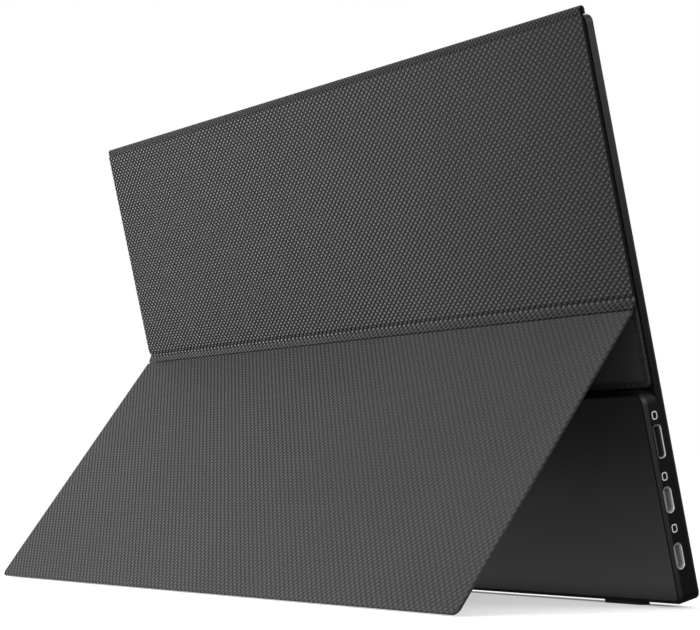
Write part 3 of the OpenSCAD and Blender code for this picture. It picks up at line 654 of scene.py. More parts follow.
@dataclass(frozen=True)
class Finish:
    """A named finish with one main colour."""

    name: str
    colour: Colour

    def build(self) -> bpy.types.Material:
        """Makes the material.

        Returns:
            The material, with one Principled shader.
        """
        material = bpy.data.materials.new(self.name)
        t = fresh_tree(material)
        shader = t.add("BsdfPrincipled")
        t.add("OutputMaterial", _0=shader.outputs[0])
        self.fill(t, shader)
        return material

    def fill(self, t: Tree, shader: bpy.types.Node) -> None:
        """Sets the shader's inputs, each kind of finish in its own way."""
        raise NotImplementedError


@dataclass(frozen=True)
class Cloth(Finish):
    """Coated cloth with embossed diamonds, in one colour on top and one in the grooves.

    across and width shape the emboss. Two more settings are painted: a colour falloff,
    darker towards the low-x side, stands in for the key lamp's falloff, and the strength of
    the emboss's shading in the colour, stronger towards the high-x side, is a painted
    highlight.
    Each of these four is a pair: a value at the cloth's low-x side and one at its high-x
    side. Below the height strip, the emboss turns from pads into a net, whose colour is
    darkened there as painted shade.
    """

    groove: Colour
    cell: Point
    relief: float
    across: Point = (0.8, 0.8)
    width: Point = (NARROW, NARROW)
    painted_falloff: Point = (1.0, 1.0)
    painted_contrast: Point = (1.0, 1.0)
    rough: float = 0.55
    groove_rough: float = 0.2
    speckle: float = 0.35
    fleck_range: Point = (0.35, 0.65)
    patches: Point = (0.96, 1.04)
    patch_scale: float = 14.0
    grain_scale: float = 2600.0
    grain_lift: float = 0.1
    specular: float = 0.15
    half: float = 180.0
    edge: float = 0.0
    edge_soft: float = 1.4
    edge_level: float = 0.15
    strip: float = 0.0
    strip_soft: float = 0.8
    strip_painted_shade: float = -0.52
    cross: Point = (0.25, 1.0)
    cross_reach: Point = (180.0, -120.0)

    def fill(self, t: Tree, shader: bpy.types.Node) -> None:
        """Reads the piece's own Cloth UV map, in millimetres."""
        uv = t.add("UVMap", {"uv_map": "Cloth"}).outputs[0]
        x, y, _ = t.add("SeparateXYZ", _0=uv).outputs

        def ramp(low: float, high: float) -> bpy.types.NodeSocket:
            """A value that changes evenly across the cloth."""
            return t.between(x, -self.half, self.half, low, high, False)

        net = t.between(y, self.strip, self.strip - self.strip_soft) if self.strip else 0.0
        weave = t.group("Diamond emboss", Vector=uv, Cell_width=self.cell[0],
                        Cell_height=self.cell[1], Across=ramp(*self.across), Net=net,
                        Cross=t.between(x, *self.cross_reach, *self.cross, False),
                        Width=ramp(*self.width))
        grain = t.group("Fine grain", Vector=t.place(), Scale=self.grain_scale,
                        Patch_scale=self.patch_scale)
        # Painted highlight: the emboss's shading in the colour grows stronger towards the
        # high-x side, near the key lamp.
        painted_contrast = ramp(*self.painted_contrast)
        if self.strip:
            painted_contrast = t.maths("MAXIMUM", painted_contrast, net)
        height = t.maths("MULTIPLY_ADD",
                         t.maths("SUBTRACT", weave.outputs["Height"], 0.5), painted_contrast, 0.5)
        # Near the side edges the emboss flattens to one level: flattened on the turned edge,
        # and where that level is low, its darker tone is painted shade of the rounded edge.
        if self.edge:
            rim = t.between(t.maths("ABSOLUTE", x), self.edge - self.edge_soft, self.edge)
            height = t.maths("MULTIPLY_ADD", t.maths("SUBTRACT", self.edge_level, height),
                             rim, height)
        tint = t.mix(height, self.groove, self.colour)
        fleck = t.between(weave.outputs["Speckle"], *self.fleck_range, 1 - self.speckle,
                          1 + self.speckle)
        patch = t.spread(grain.outputs["Patch"], *self.patches)
        # Painted lamp falloff: the colour grows darker towards the low-x side, away from the
        # key lamp.
        fleck = t.maths("MULTIPLY", fleck, ramp(*self.painted_falloff))
        # Painted shade: in the strip down to the fold, the colour is darkened by up to about
        # half.
        fleck = t.maths("MULTIPLY", fleck,
                        t.maths("MULTIPLY_ADD", net, self.strip_painted_shade, 1.0))
        shade = t.add("VectorMath", {"operation": "SCALE"}, _0=tint,
                      Scale=t.maths("MULTIPLY", fleck, patch))
        lift = t.maths("MULTIPLY_ADD", grain.outputs["Grain"], self.grain_lift,
                       weave.outputs["Dome"])
        bump = t.add("Bump", Strength=1.0, Distance=self.relief * MM, Height=lift)
        rough = t.between(weave.outputs["Groove"], 0.0, 1.0, self.rough,
                          self.rough + self.groove_rough)
        t.join(shader, Base_Color=shade.outputs[0], Roughness=rough,
               Normal=bump.outputs[0], Specular_IOR_Level=self.specular)


@dataclass(frozen=True)
class Coat(Finish):
    """A plain hard or soft finish with fine grain: paint, plastic, rubber, metal.

    Its low_wall is the share of the gloss that the low part of a side wall keeps.
    """

    rough: float = 0.45
    rough_spread: float = 0.05
    metallic: float = 0.0
    grain: float = 0.02
    grain_scale: float = 1500.0
    spread: float = 0.08
    specular: float = 0.5
    low_wall: float = 1.0
    low_heights: Point = (0.2, 0.08)
    side_facing: Point = (0.45, 0.97)

    def fill(self, t: Tree, shader: bpy.types.Node) -> None:
        """Reads object coordinates."""
        place = t.place()
        grain = t.group("Fine grain", Vector=place, Scale=self.grain_scale)
        tint = t.mix(t.spread(grain.outputs["Patch"]), shaded(self.colour, 1 - self.spread),
                     shaded(self.colour, 1 + self.spread))
        rough = t.spread(grain.outputs["Grain"], self.rough - self.rough_spread,
                         self.rough + self.rough_spread)
        bump = t.add("Bump", Strength=1.0, Distance=self.grain * MM,
                     Height=grain.outputs["Grain"])
        t.join(shader, Base_Color=tint, Roughness=rough, Normal=bump.outputs[0],
               Metallic=self.metallic, Specular_IOR_Level=self.specular)
        if self.low_wall < 1.0:
            normal = t.add("TexCoord").outputs["Normal"]
            facing = t.maths("ABSOLUTE", t.add("SeparateXYZ", _0=normal).outputs[0])
            low = t.between(t.add("SeparateXYZ", _0=place).outputs[2], *self.low_heights)
            low = t.maths("MULTIPLY", low, t.between(facing, *self.side_facing))
            matt = t.maths("MULTIPLY_ADD", low, self.specular * (self.low_wall - 1.0),
                           self.specular)
            t.join(shader, Specular_IOR_Level=matt)


@dataclass(frozen=True)
class Brushed(Finish):
    """Metal with a fine brushed grain along one axis."""

    rough: float = 0.35
    rough_spread: float = 0.08
    stretch: Triple = (1.0, 40.0, 40.0)
    grain: float = 0.01
    grain_scale: float = 60.0
    dark: float = 0.85

    def fill(self, t: Tree, shader: bpy.types.Node) -> None:
        """Reads object coordinates."""
        along = t.add("Mapping", Vector=t.place(), Scale=self.stretch)
        grain = t.group("Fine grain", Vector=along.outputs[0], Scale=self.grain_scale)
        tint = t.mix(grain.outputs["Grain"], shaded(self.colour, self.dark), self.colour)
        rough = t.spread(grain.outputs["Grain"], self.rough - self.rough_spread,
                         self.rough + self.rough_spread)
        bump = t.add("Bump", Strength=1.0, Distance=self.grain * MM,
                     Height=grain.outputs["Grain"])
        t.join(shader, Base_Color=tint, Roughness=rough, Normal=bump.outputs[0],
               Metallic=1.0)


@dataclass(frozen=True)
class Board(Finish):
    """A circuit board: lacquer over copper tracks, with bare solder spots."""

    track_scale: float = 180.0
    track_gap: float = 0.03
    track_light: float = 1.25
    gap_light: float = 1.9
    spot_scale: float = 420.0
    spot_edge: Point = (0.16, 0.12)
    solder: Colour = (0.62, 0.6, 0.55)
    rough: Point = (0.4, 0.3)
    solder_metal: float = 0.9

    def fill(self, t: Tree, shader: bpy.types.Node) -> None:
        """Reads object coordinates."""
        place = t.place()
        tracks = t.add("TexBrick", Vector=place, Scale=self.track_scale,
                       Mortar_Size=self.track_gap, Color1=self.colour,
                       Color2=shaded(self.colour, self.track_light),
                       Mortar=shaded(self.colour, self.gap_light))
        spots = t.add("TexVoronoi", {"feature": "F1"}, Vector=place, Scale=self.spot_scale)
        spot = t.between(spots.outputs["Distance"], *self.spot_edge)
        tint = t.mix(spot, tracks.outputs["Color"], self.solder)
        t.join(shader, Base_Color=tint, Roughness=t.between(spot, 0.0, 1.0, *self.rough),
               Metallic=t.maths("MULTIPLY", spot, self.solder_metal))


@dataclass(frozen=True)
class Glass(Finish):
    """The dark, glossy face of a switched-off screen."""

    grain_scale: float = 4000.0
    rough: Point = (0.2, 0.26)
    patch_light: float = 1.2
    specular: float = 0.5

    def fill(self, t: Tree, shader: bpy.types.Node) -> None:
        """Reads object coordinates."""
        grain = t.group("Fine grain", Vector=t.place(), Scale=self.grain_scale)
        rough = t.spread(grain.outputs["Grain"], *self.rough)
        tint = t.mix(grain.outputs["Patch"], self.colour,
                     shaded(self.colour, self.patch_light))
        t.join(shader, Base_Color=tint, Roughness=rough, Specular_IOR_Level=self.specular)


FINISHES: tuple[Finish, ...] = (
    Cloth("Upper cloth", grey(139), grey(1), CELL, relief=0.45, across=(0.85, 1.0),
          width=(NARROW, 0.85), painted_falloff=(0.23, 1.0), painted_contrast=(0.6, 1.5), rough=0.42,
          speckle=0.12, edge=179.4, strip=109.6),
    Cloth("Spine cloth", grey(92), grey(2), (2.1, 1.7), relief=0.4, across=(0.85, 1.0),
          width=(NARROW, 0.6), painted_falloff=(0.55, 1.0), painted_contrast=(0.8, 1.2), rough=0.5),
    Cloth("Leg cloth", grey(77), grey(13), (3.155, 3.077), relief=0.25,
          across=(0.6, 1.0), width=(NARROW, 0.5), painted_contrast=(0.4, 1.2), rough=0.5,
          edge=179.6, edge_level=0.55),
    Cloth("Hidden cloth", grey(62), grey(50), CELL, relief=0.15),
    # Near black: painted shade in the crease of the fold, on the fold's web.
    Cloth("Crease shade cloth", grey(16), grey(8), CELL, relief=0.1),
    Cloth("Lining", grey(66), grey(63), (0.9, 0.9), relief=0.02, rough=0.7),
    Coat("Housing paint", grey(13), 0.4, grain=0.01, specular=0.35, low_wall=0.35),
    Coat("Seam gap", grey(5), 0.8, specular=0.1),
    Coat("Chin plate", grey(32), 0.38, grain=0.004, grain_scale=3000.0, spread=0.02,
         specular=0.42),
    Coat("Bezel plastic", grey(10), 0.5),
    Glass("Screen glass", grey(10)),
    Coat("Film", grey(228), 0.4),
    Coat("White sheet", grey(245), 0.6),
    Coat("Tray plastic", grey(215), 0.5),
    Coat("Tape", grey(50), 0.8),
    Brushed("Steel plate", grey(170)),
    Brushed("Shield steel", grey(190)),
    Brushed("Screw steel", grey(160), stretch=(30.0, 30.0, 30.0)),
    Brushed("Magnet nickel", grey(180), 0.25, stretch=(10.0, 10.0, 10.0)),
    Coat("Socket steel", grey(165), 0.5, metallic=0.4, grain=0.004, grain_scale=900.0),
    # A darker copy of the socket steel, for the video socket: painted shade inside its
    # mouth.
    Coat("Shaded socket steel", grey(70), 0.5, metallic=0.4, grain=0.004,
         grain_scale=900.0),
    Coat("Cut aluminium", grey(190), 0.45, metallic=0.5, grain=0.003, grain_scale=700.0),
    Board("Blue board", (0.012, 0.055, 0.14)),
    Board("Green board", (0.01, 0.1, 0.04)),
    Coat("Chip resin", grey(38), 0.55, grain=0.03),
    Coat("Thermal pad", (0.22, 0.36, 0.52), 0.8),
    Coat("Ribbon", (0.55, 0.42, 0.16), 0.35),
    Coat("White ribbon", grey(225), 0.45),
    Coat("Red wire", (0.42, 0.03, 0.02), 0.4),
    Coat("LED strip", (0.85, 0.74, 0.38), 0.4),
    Coat("Black plastic", grey(22), 0.5),
    Coat("Control plastic", grey(30), 0.35),
    Coat("Light pipe", (0.85, 0.92, 1.0), 0.15, spread=0.01),
    Coat("Rubber", grey(9), 0.85, grain=0.03, grain_scale=900.0),
    Coat("Greyboard", (0.26, 0.23, 0.19), 0.9, grain=0.03, grain_scale=500.0),
    Coat("White mark", grey(250), 0.6, spread=0.02, grain=0.0),
)

NODE_FINISHES: dict[str, tuple[str, ...]] = {
    "Bezel plastic": ("front_frame",),
    "Screen glass": ("lcd_cell",),
    "Film": ("optical_films", "light_guide"),
    "White sheet": ("reflector_sheet",),
    "Tray plastic": ("backlight_frame",),
    "LED strip": ("led_strip",),
    "Green board": ("panel_driver_board",),
    "Tape": ("panel_tape",),
    "Steel plate": ("holding_plate",),
    "Housing paint": ("rear_housing",),
    "Chin plate": ("chin_cover",),
    "Blue board": ("main_board", "key_board"),
    "Chip resin": ("board_chips",),
    "Shield steel": ("chip_shield",),
    "Thermal pad": ("thermal_pad",),
    "Ribbon": ("panel_cable",),
    "White ribbon": ("key_cable",),
    "Red wire": ("speaker_wires",),
    "Socket steel": ("data_socket_upper", "data_socket_lower"),
    "Shaded socket steel": ("video_socket",),
    "Black plastic": ("audio_socket", "power_switch", "dial_switch", "dial_bracket",
                      "speaker_left", "speaker_right"),
    "Control plastic": ("power_button", "menu_dial"),
    "Light pipe": ("status_light",),
    "Screw steel": ("board_screws",),
    "Rubber": ("foot_left", "foot_right"),
    "Greyboard": ("attach_board", "upper_board", "leg_board"),
    "Magnet nickel": ("attach_magnets", "upper_magnets", "leg_magnets"),
}


class Finishes:
    """Every finish of the object, each made once."""

    def __init__(self) -> None:
        """Makes the shared groups and the materials."""
        Emboss().build()
        Grain().build()
        self.made = {finish.name: finish.build() for finish in FINISHES}

    def dress(self, obj: bpy.types.Object, name: str) -> None:
        """Gives an object one finish."""
        obj.data.materials.clear()
        obj.data.materials.append(self.made[name])


@dataclass
class Cover:
    """The folding cover: clinging panel, spine, upper panel, fold and leg."""

    finishes: Finishes
    layout: Layout = LAYOUT
    # Stiff panels and their hems.
    edge_r: float = 0.42
    leg_edge_r: float = 0.62
    attach_corner: float = 2.5
    leg_corner: float = 3.0
    hem_slope: float = 0.06
    hem_step: float = 0.22
    # Linings: the gap to the hem, and their two faces under the panel's inner face.
    lining_gap: float = 0.05
    lining_low: float = 0.28
    lining_top: float = 0.02
    lining_corner: float = 0.5
    lining_edge: float = 0.1
    # The pressed strip: over a lip, down a dip, through a hollow, out to a nose.
    end_r: float = 0.25
    lip_r: float = 1.0
    dip: float = 32.0
    dip_len: float = 0.6
    hollow_r: float = 1.5
    flare: float = 34.0
    nose_r: float = 0.5
    nose_under: float = 40.0
    nose_gap: float = 0.1
    # The spine, its step over the upper panel's edge, and how far in from its faces the
    # build works out two points on its top, which it does not use.
    spine_in: float = 0.6
    spine_seat_w: float = 0.3
    spine_seat_h: float = 0.25
    spine_end_r: float = 0.2
    spine_over: float = 0.7
    spine_bend_in: float = 0.6
    # The web of the fold, and two points from the fold's line at the ends of its bend, which
    # the build works out but does not use.
    web_end_r: float = 0.08
    web_bend: tuple[Point, Point] = ((-1.1, 0.0), (-0.7, -0.9))

    def flat_place(self, co: Vector, normal: Vector) -> Point:
        """The pattern place of a point of a flat panel.

        Args:
            co: The point.
            normal: The normal of the face that it belongs to.

        Returns:
            The place, with the panel's edges folded out flat.
        """
        side = co.y if abs(normal.x) > MOSTLY else 0.0
        if abs(normal.z) > MOSTLY:
            return (co.x, co.z - co.y)
        return (co.x + side * math.copysign(1, co.x), co.z)

    def upper_skin(self) -> bpy.types.Object:
        """The upper panel's skin: its stiff part, then the strip that flares to the fold.

        Returns:
            The new object.
        """
        lay = self.layout
        out, inner = lay.outer_y, lay.outer_y - lay.panel_t
        floor = out - lay.strip_y - lay.skin_t
        bottom = lay.fold_z + self.nose_gap
        pen = Pen((out, lay.crease_z))
        pen.line((out, lay.stiff_z))
        pen.bend(self.lip_r, 0.0, -self.dip, steps=4)
        pen.slope(-self.dip, self.dip_len)
        pen.bend(-self.hollow_r, -self.dip, self.flare, steps=8)
        nose_h = self.nose_r * (math.sin(math.radians(self.flare))
                                + math.sin(math.radians(self.nose_under)))
        run = (pen.tip.co.z - bottom - nose_h) / math.cos(math.radians(self.flare))
        pen.slope(self.flare, run)
        pen.bend(self.nose_r, self.flare, -self.nose_under, steps=8)
        pen.line((floor, lay.fold_z), (floor, lay.stiff_z), (inner, lay.stiff_z),
                 (inner, lay.crease_z), (out, lay.crease_z))
        shape = pen.sweep(lay.panel_w / 2, self.end_r)

        def place(co: Vector, normal: Vector) -> Point:
            """The pattern place of a point, measured along the cloth from its top."""
            side = co.y - out if abs(normal.x) > MOSTLY else 0.0
            return (co.x - side * math.copysign(1, co.x), lay.crease_z - pen.along(co))

        return shape.finish("upper_cloth", lay.plate(), place)

    def panel(self, name: str, size: Point, corner: float, matrix: Matrix,
              edge_r: float) -> bpy.types.Object:
        """A stiff panel in its skin: rounded corners and edges, with a turned hem.

        Args:
            name: The piece's name.
            size: Width and height in millimetres.
            corner: Radius of its bottom corners.
            matrix: The transform to the scene; depth runs from the outer face inwards.
            edge_r: Radius of the turned edges.

        Returns:
            The new object.
        """
        lay = self.layout
        w, h = size
        shape = Shape()
        shape.box((-w / 2, 0, 0), (w / 2, lay.panel_t, h))
        shape.round_edges(shape.depth_edges(h / 2), corner, steps=8)
        rim = [e for e in shape.bm.edges
               if len(e.link_faces) == 2
               and abs(e.link_faces[0].normal.dot(e.link_faces[1].normal)) < SQUARE
               and abs((e.verts[0].co - e.verts[1].co).y) < TINY]
        shape.round_edges(rim, edge_r, steps=4)
        shape.bm.normal_update()
        inside = [f for f in shape.bm.faces if abs(f.normal.y) > STRAIGHT
                  and abs(f.calc_center_median().y - lay.panel_t) < MERGE]
        bmesh.ops.inset_region(shape.bm, faces=inside, thickness=lay.hem_w - edge_r,
                               depth=0.0)
        bmesh.ops.inset_region(shape.bm, faces=inside, thickness=self.hem_slope,
                               depth=-self.hem_step)
        return shape.finish(name, matrix, self.flat_place)

    def lining(self, name: str, size: Point, matrix: Matrix) -> bpy.types.Object:
        """A lining sheet inside the turned hem, with softly rounded edges.

        Args:
            name: The piece's name.
            size: Width and height of its panel in millimetres.
            matrix: The transform to the scene, as for the panel.

        Returns:
            The new object.
        """
        lay = self.layout
        w, h = (s - 2 * lay.hem_w - 2 * self.lining_gap for s in size)
        low, depth = lay.hem_w + self.lining_gap, lay.panel_t
        shape = Shape()
        shape.box((-w / 2, depth - self.lining_low, low),
                  (w / 2, depth - self.lining_top, low + h))
        shape.round_edges(shape.depth_edges(), self.lining_corner)
        rim = [e for e in shape.bm.edges
               if abs((e.verts[0].co - e.verts[1].co).y) < TINY
               and e.verts[0].co.y > depth - self.lining_low / 2]
        shape.round_edges(rim, self.lining_edge, steps=2)
        return shape.finish(name, matrix, self.flat_place)

    def spine(self) -> bpy.types.Object:
        """The bare spine, folded over into a narrow arch.

        Returns:
            The new object.
        """
        lay = self.layout
        r, inner = lay.spine_r, lay.spine_r - lay.web_t
        mid, top = lay.slim_t + r, lay.spine_top - r
        foot = lay.crease_z + self.spine_seat_h
        seat = mid + r - self.spine_seat_w
        pen = Pen((mid + r, foot)).line((mid + r, top))
        pen.arc((mid, top), 180, steps=14)
        pen.line((mid - r, lay.crease_z), (mid - inner, lay.crease_z), (mid - inner, top))
        pen.arc((mid, top), -180, steps=10)
        pen.line((mid + inner, lay.crease_z), (seat, lay.crease_z), (seat, foot),
                 (mid + r, foot))
        shape = pen.sweep(lay.panel_w / 2 - self.spine_in, self.spine_end_r)

        def place(co: Vector, normal: Vector) -> Point:
            """The pattern place of a point; faces that look up carry it over the arch."""
            over = 0.0 if abs(normal.z) < self.spine_over else co.y - mid
            return (co.x, co.z + over)

        return shape.finish("spine_cloth", lay.plate(), place)

    def web(self) -> bpy.types.Object:
        """The bare material inside the fold, bent round the fold's line.

        Returns:
            The new object.
        """
        lay = self.layout
        turn = math.degrees(lay.leg_angle + lay.lean)
        near = (lay.fold_y - lay.web_in, lay.fold_z)
        centre = (lay.fold_y, lay.fold_z)
        pen = Pen(near).arc(centre, turn)
        a = math.radians(turn)
        r = lay.web_in + lay.skin_t
        pen.line((centre[0] - r * math.cos(a), centre[1] - r * math.sin(a)))
        pen.arc(centre, -turn).line(near)
        return pen.sweep(lay.panel_w / 2, self.web_end_r).finish(
            "fold_cloth", lay.plate(), lambda co, n: (co.x, co.z - co.y))

    def build(self) -> None:
        """Builds, dresses and places the cover's pieces."""
        lay, dress = self.layout, self.finishes.dress
        turned = Matrix.Diagonal((1, -1, 1, 1))
        on_back = lay.plate() @ Matrix.Translation((0, lay.slim_t, lay.attach_z))
        on_upper = (lay.plate() @ Matrix.Translation((0, lay.outer_y, lay.stiff_z))
                    @ turned)
        on_leg = lay.leg() @ turned
        attach = (lay.attach_w, lay.crease_z - lay.attach_z)
        upper = (lay.panel_w, lay.crease_z - lay.stiff_z)
        leg = (lay.panel_w, lay.leg_len)
        skin = self.upper_skin()
        spine, web = folds = (self.spine(), self.web())
        sheets = [
            (skin, "Upper cloth", "upper_skin", Body.UPPER, "cover_skin",
             (lay.panel_w, lay.crease_z - lay.fold_z)),
            (self.panel("leg_cloth", leg, self.leg_corner, on_leg, self.leg_edge_r),
             "Leg cloth", "leg_skin", Body.LEG, "cover_skin", leg),
            (self.panel("attach_cloth", attach, self.attach_corner, on_back, self.edge_r),
             "Hidden cloth", "attach_skin", Body.MONITOR, "cover_skin", attach),
        ]
        for part, body, size, matrix in (("attach", Body.MONITOR, attach, on_back),
                                         ("upper", Body.UPPER, upper, on_upper),
                                         ("leg", Body.LEG, leg, on_leg)):
            sheets.append((self.lining(f"{part}_lining_sheet", size, matrix), "Lining",
                           f"{part}_lining", body, "cover_lining",
                           tuple(s - 2 * lay.hem_w for s in size)))
        for obj, finish, node, body, slot, size in sheets:
            dress(obj, finish)
            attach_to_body(obj, body.value)
            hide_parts(node)
            LOG.info("cover piece %s", obj.name)
        spine_bend = ((lay.slim_t + self.spine_bend_in, lay.spine_top),
                      (lay.outer_y - self.spine_bend_in, lay.spine_top))
        web_bend = tuple((lay.fold_y + y, lay.fold_z + z) for y, z in self.web_bend)
        for obj, finish, node, first, second, ends in (
            (spine, "Spine cloth", "spine_fold", Body.MONITOR, Body.UPPER, spine_bend),
            (web, "Crease shade cloth", "fold_web", Body.UPPER, Body.LEG, web_bend),
        ):
            dress(obj, finish)
            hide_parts(node)
            lay.at(0, *ends[0])
            lay.at(0, *ends[1])
            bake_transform(obj)
            LOG.info("cover piece %s", obj.name)


@dataclass(frozen=True)
class Socket:
    """A socket's mouth in the side wall, in the plate's millimetres."""

    name: str
    depth: float
    height: float
    length: float
    thickness: float
    radius: float


@dataclass
class Sockets:
    """Bright-cut rims round the sockets and the plain marks beside them."""

    finishes: Finishes
    layout: Layout = LAYOUT
    gap: float = 0.1
    bevel: float = 0.3
    # How little the rim stands before the housing: at the wall, on its bevel, inside.
    rim_proud: float = 0.01
    rim_lift: float = 0.02
    rim_clear: float = 0.01
    # How far it goes on straight into the mouth, and what keeps its end arcs apart.
    rim_wall: float = 0.12
    rim_ease: float = 0.001
    mouths: tuple[Socket, ...] = (
        Socket("data_rim_lower", 6.6, 17.4, 8.95, 3.25, 1.625),
        Socket("data_rim_upper", 6.6, 38.0, 8.95, 3.25, 1.625),
        Socket("video_rim", 5.9, 59.1, 11.4, 3.1, 1.0),
    )
    # Height and depth of each mark; then length, thickness and radius, outer ring first.
    marks: tuple[Point, ...] = ((27.5, 6.4), (46.5, 6.5), (68.6, 5.9))
    mark_rings: tuple[Triple, ...] = ((3.0, 2.5, 0.85), (2.25, 1.75, 0.5))
    mark_proud: float = 0.02
    mark_t: float = 0.015

    @property
    def wall(self) -> float:
        """Where the side wall stands."""
        return -self.layout.body_w / 2

    def rim(self, mouth: Socket) -> bpy.types.Object:
        """A bright bevel round one socket: a narrow ring that slopes into its mouth.

        Args:
            mouth: The socket's mouth.

        Returns:
            The new object.
        """
        shape = Shape()
        inner = self.gap - self.rim_clear
        rings = [
            shape.outline("Y", (1, mouth.thickness + 2 * grow, mouth.length + 2 * grow),
                          (x, mouth.depth, mouth.height),
                          (mouth.radius + grow - self.rim_ease,))
            for x, grow in ((self.wall - self.rim_proud, self.gap + self.bevel),
                            (self.wall + self.bevel - self.rim_lift, inner),
                            (self.wall + self.bevel + self.rim_wall, inner))]
        shape.bridge(rings)
        return shape.finish(mouth.name, self.layout.plate())

    def mark(self, name: str, height: float, depth: float) -> bpy.types.Object:
        """A small printed outline of a socket.

        Args:
            name: The piece's name.
            height: Height of its middle on the plate.
            depth: Depth of its middle.

        Returns:
            The new object.
        """
        shape = Shape()
        rings = [shape.outline("Y", (1, thickness, length),
                               (self.wall - self.mark_proud, depth, height), (radius,))
                 for length, thickness, radius in self.mark_rings]
        shape.bridge(rings)
        shape.thicken((self.mark_t, 0, 0))
        return shape.finish(name, self.layout.plate())

    def build(self) -> None:
        """Builds, dresses and places the rims and marks."""
        for mouth in self.mouths:
            obj = self.rim(mouth)
            self.finishes.dress(obj, "Cut aluminium")
            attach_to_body(obj, Body.MONITOR.value)
            LOG.info("rim %s", obj.name)
        for i, (height, depth) in enumerate(self.marks):
            obj = self.mark(f"port_mark_{i + 1}", height, depth)
            self.finishes.dress(obj, "White mark")
            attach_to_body(obj, Body.MONITOR.value)
            LOG.info("mark %s", obj.name)


@dataclass
class Chin:
    """The dark seam round the plate over the deep lower part."""

    finishes: Finishes
    layout: Layout = LAYOUT
    # The ring's outer and inner inset, and the share of its width that it has below.
    insets: Point = (1.1, 1.7)
    bottom_share: float = 0.25
    radii: Point = (3.0, 4.8)
    proud: float = 0.015
    thick: float = 0.03

    def build(self) -> None:
        """Builds the seam: a fine raised ring on the rim of the housing, narrow below."""
        lay = self.layout
        shape = Shape()
        rings = []
        for inset in self.insets:
            low = self.insets[0] + self.bottom_share * (inset - self.insets[0])
            high = lay.chin_h - inset
            rings.append(shape.outline(
                "X", (lay.body_w - 2 * inset, 1, high - low),
                (0, lay.body_t + self.proud, (high + low) / 2),
                tuple(radius - inset for radius in self.radii)))
        shape.bridge(rings)
        shape.thicken((0, -self.thick, 0))
        obj = shape.finish("chin_seam", lay.plate())
        self.finishes.dress(obj, "Seam gap")
        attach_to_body(obj, Body.MONITOR.value)
        LOG.info("seam %s", obj.name)


@dataclass(frozen=True)
class Camera:
    """The camera's place in metres, its own axes and its lens in millimetres."""

    eye: Triple = (-0.69544577, 0.44734443, 0.03886340)
    right: Triple = (-0.55848911, -0.82948377, 0.00682497)
    forward: Triple = (0.82824255, -0.55716066, 0.05988554)
    lens: float = 101.2582
    sensor: float = 36.0
    shift: Point = (0.007876, 0.090933)
    clip: Point = (0.01, 50.0)

    def build(self) -> None:
        """Places the camera from its own axes."""
        data = bpy.data.cameras.new("Camera")
        data.lens, data.sensor_width = self.lens, self.sensor
        data.shift_x, data.shift_y = self.shift
        data.clip_start, data.clip_end = self.clip
        cam = add_object("Camera", data)
        x, z = Vector(self.right), -Vector(self.forward)
        turn = Matrix((x, z.cross(x), z)).transposed().to_4x4()
        cam.matrix_world = Matrix.Translation(self.eye) @ turn
        bpy.context.scene.camera = cam


@dataclass(frozen=True)
class Floor:
    """A pale paper floor that shows white and keeps the shadows, in metres.

    Its pairs of reaches say where an effect starts and where it is full.
    """

    size: float = 15.0
    drop: float = 0.0002
    paper: Colour = (0.8, 0.8, 0.8)
    glow: float = 0.5
    painted_shadow_y: float = -0.0565
    painted_shadow_reach: Point = (0.007, 0.0015)
    painted_shadow_ends: Point = (0.178, 0.158)
    painted_shadow_paper: Colour = (0.3, 0.3, 0.3)
    painted_shadow_glow: float = -0.5
    reflection_lift_reach: Point = (0.0, -0.045)
    reflection_lift_glow: float = 0.3
    white_reach: Point = (0.3, 0.6)
    unseen: Colour = (0.15, 0.15, 0.15)
    side_reach: Point = (-0.19, -0.15)
    side_share: float = 0.6
    front_reach: Point = (-0.05, -0.03)

    def build(self) -> None:
        """Builds the floor and its paper."""
        bm = bmesh.new()
        bmesh.ops.create_grid(bm, x_segments=1, y_segments=1, size=self.size)
        mesh = bpy.data.meshes.new("floor")
        bm.to_mesh(mesh)
        bm.free()
        obj = add_object("floor", mesh)
        obj.location.z = -self.drop
        material = bpy.data.materials.new("Floor paper")
        t = fresh_tree(material)
        place = t.place()
        path = t.add("LightPath").outputs
        across, back, _ = t.add("SeparateXYZ", _0=place).outputs
        # Painted shadow: a dark line on the paper under the front edge, darker paper with
        # less glow, since the paper's own glow hides the real shadow there.
        beside = t.maths("ABSOLUTE", t.maths("SUBTRACT", back, self.painted_shadow_y))
        painted_shadow = t.maths("MULTIPLY", t.between(beside, *self.painted_shadow_reach),
                          t.between(t.maths("ABSOLUTE", across), *self.painted_shadow_ends))
        shade = t.add("BsdfDiffuse", Color=t.mix(painted_shadow, self.paper, self.painted_shadow_paper))
        # Painted reflection: in reflected rays only, the paper just behind the lower plate
        # glows a little brighter, so the plate mirrors it brighter.
        foot = t.maths("MULTIPLY", path["Is Glossy Ray"],
                       t.between(back, *self.reflection_lift_reach, 0.0, self.reflection_lift_glow))
        glow = t.add("Emission", Color=WHITE, Strength=t.maths(
            "ADD", t.maths("MULTIPLY_ADD", painted_shadow, self.painted_shadow_glow, self.glow), foot))
        lit = t.add("AddShader", _0=shade.outputs[0], _1=glow.outputs[0])
        white = t.add("Emission", Color=WHITE, Strength=1.0)
        reach = t.add("VectorMath", {"operation": "LENGTH"}, _0=place).outputs["Value"]
        paper = t.mix_shaders(t.between(reach, *self.white_reach), lit, white)
        # Mirrored under the side wall or in front of the edge, the paper shows dull.
        mirrored = t.maths("MULTIPLY", path["Is Glossy Ray"],
                           t.between(across, *self.side_reach, self.side_share, 1.0))
        mirrored = t.maths("MULTIPLY", mirrored, t.between(back, *self.front_reach))
        seen = t.maths("MAXIMUM", path["Is Camera Ray"], mirrored)
        dull = t.add("BsdfDiffuse", Color=self.unseen)
        t.add("OutputMaterial", _0=t.mix_shaders(seen, dull, paper).outputs[0])
        mesh.materials.append(material)


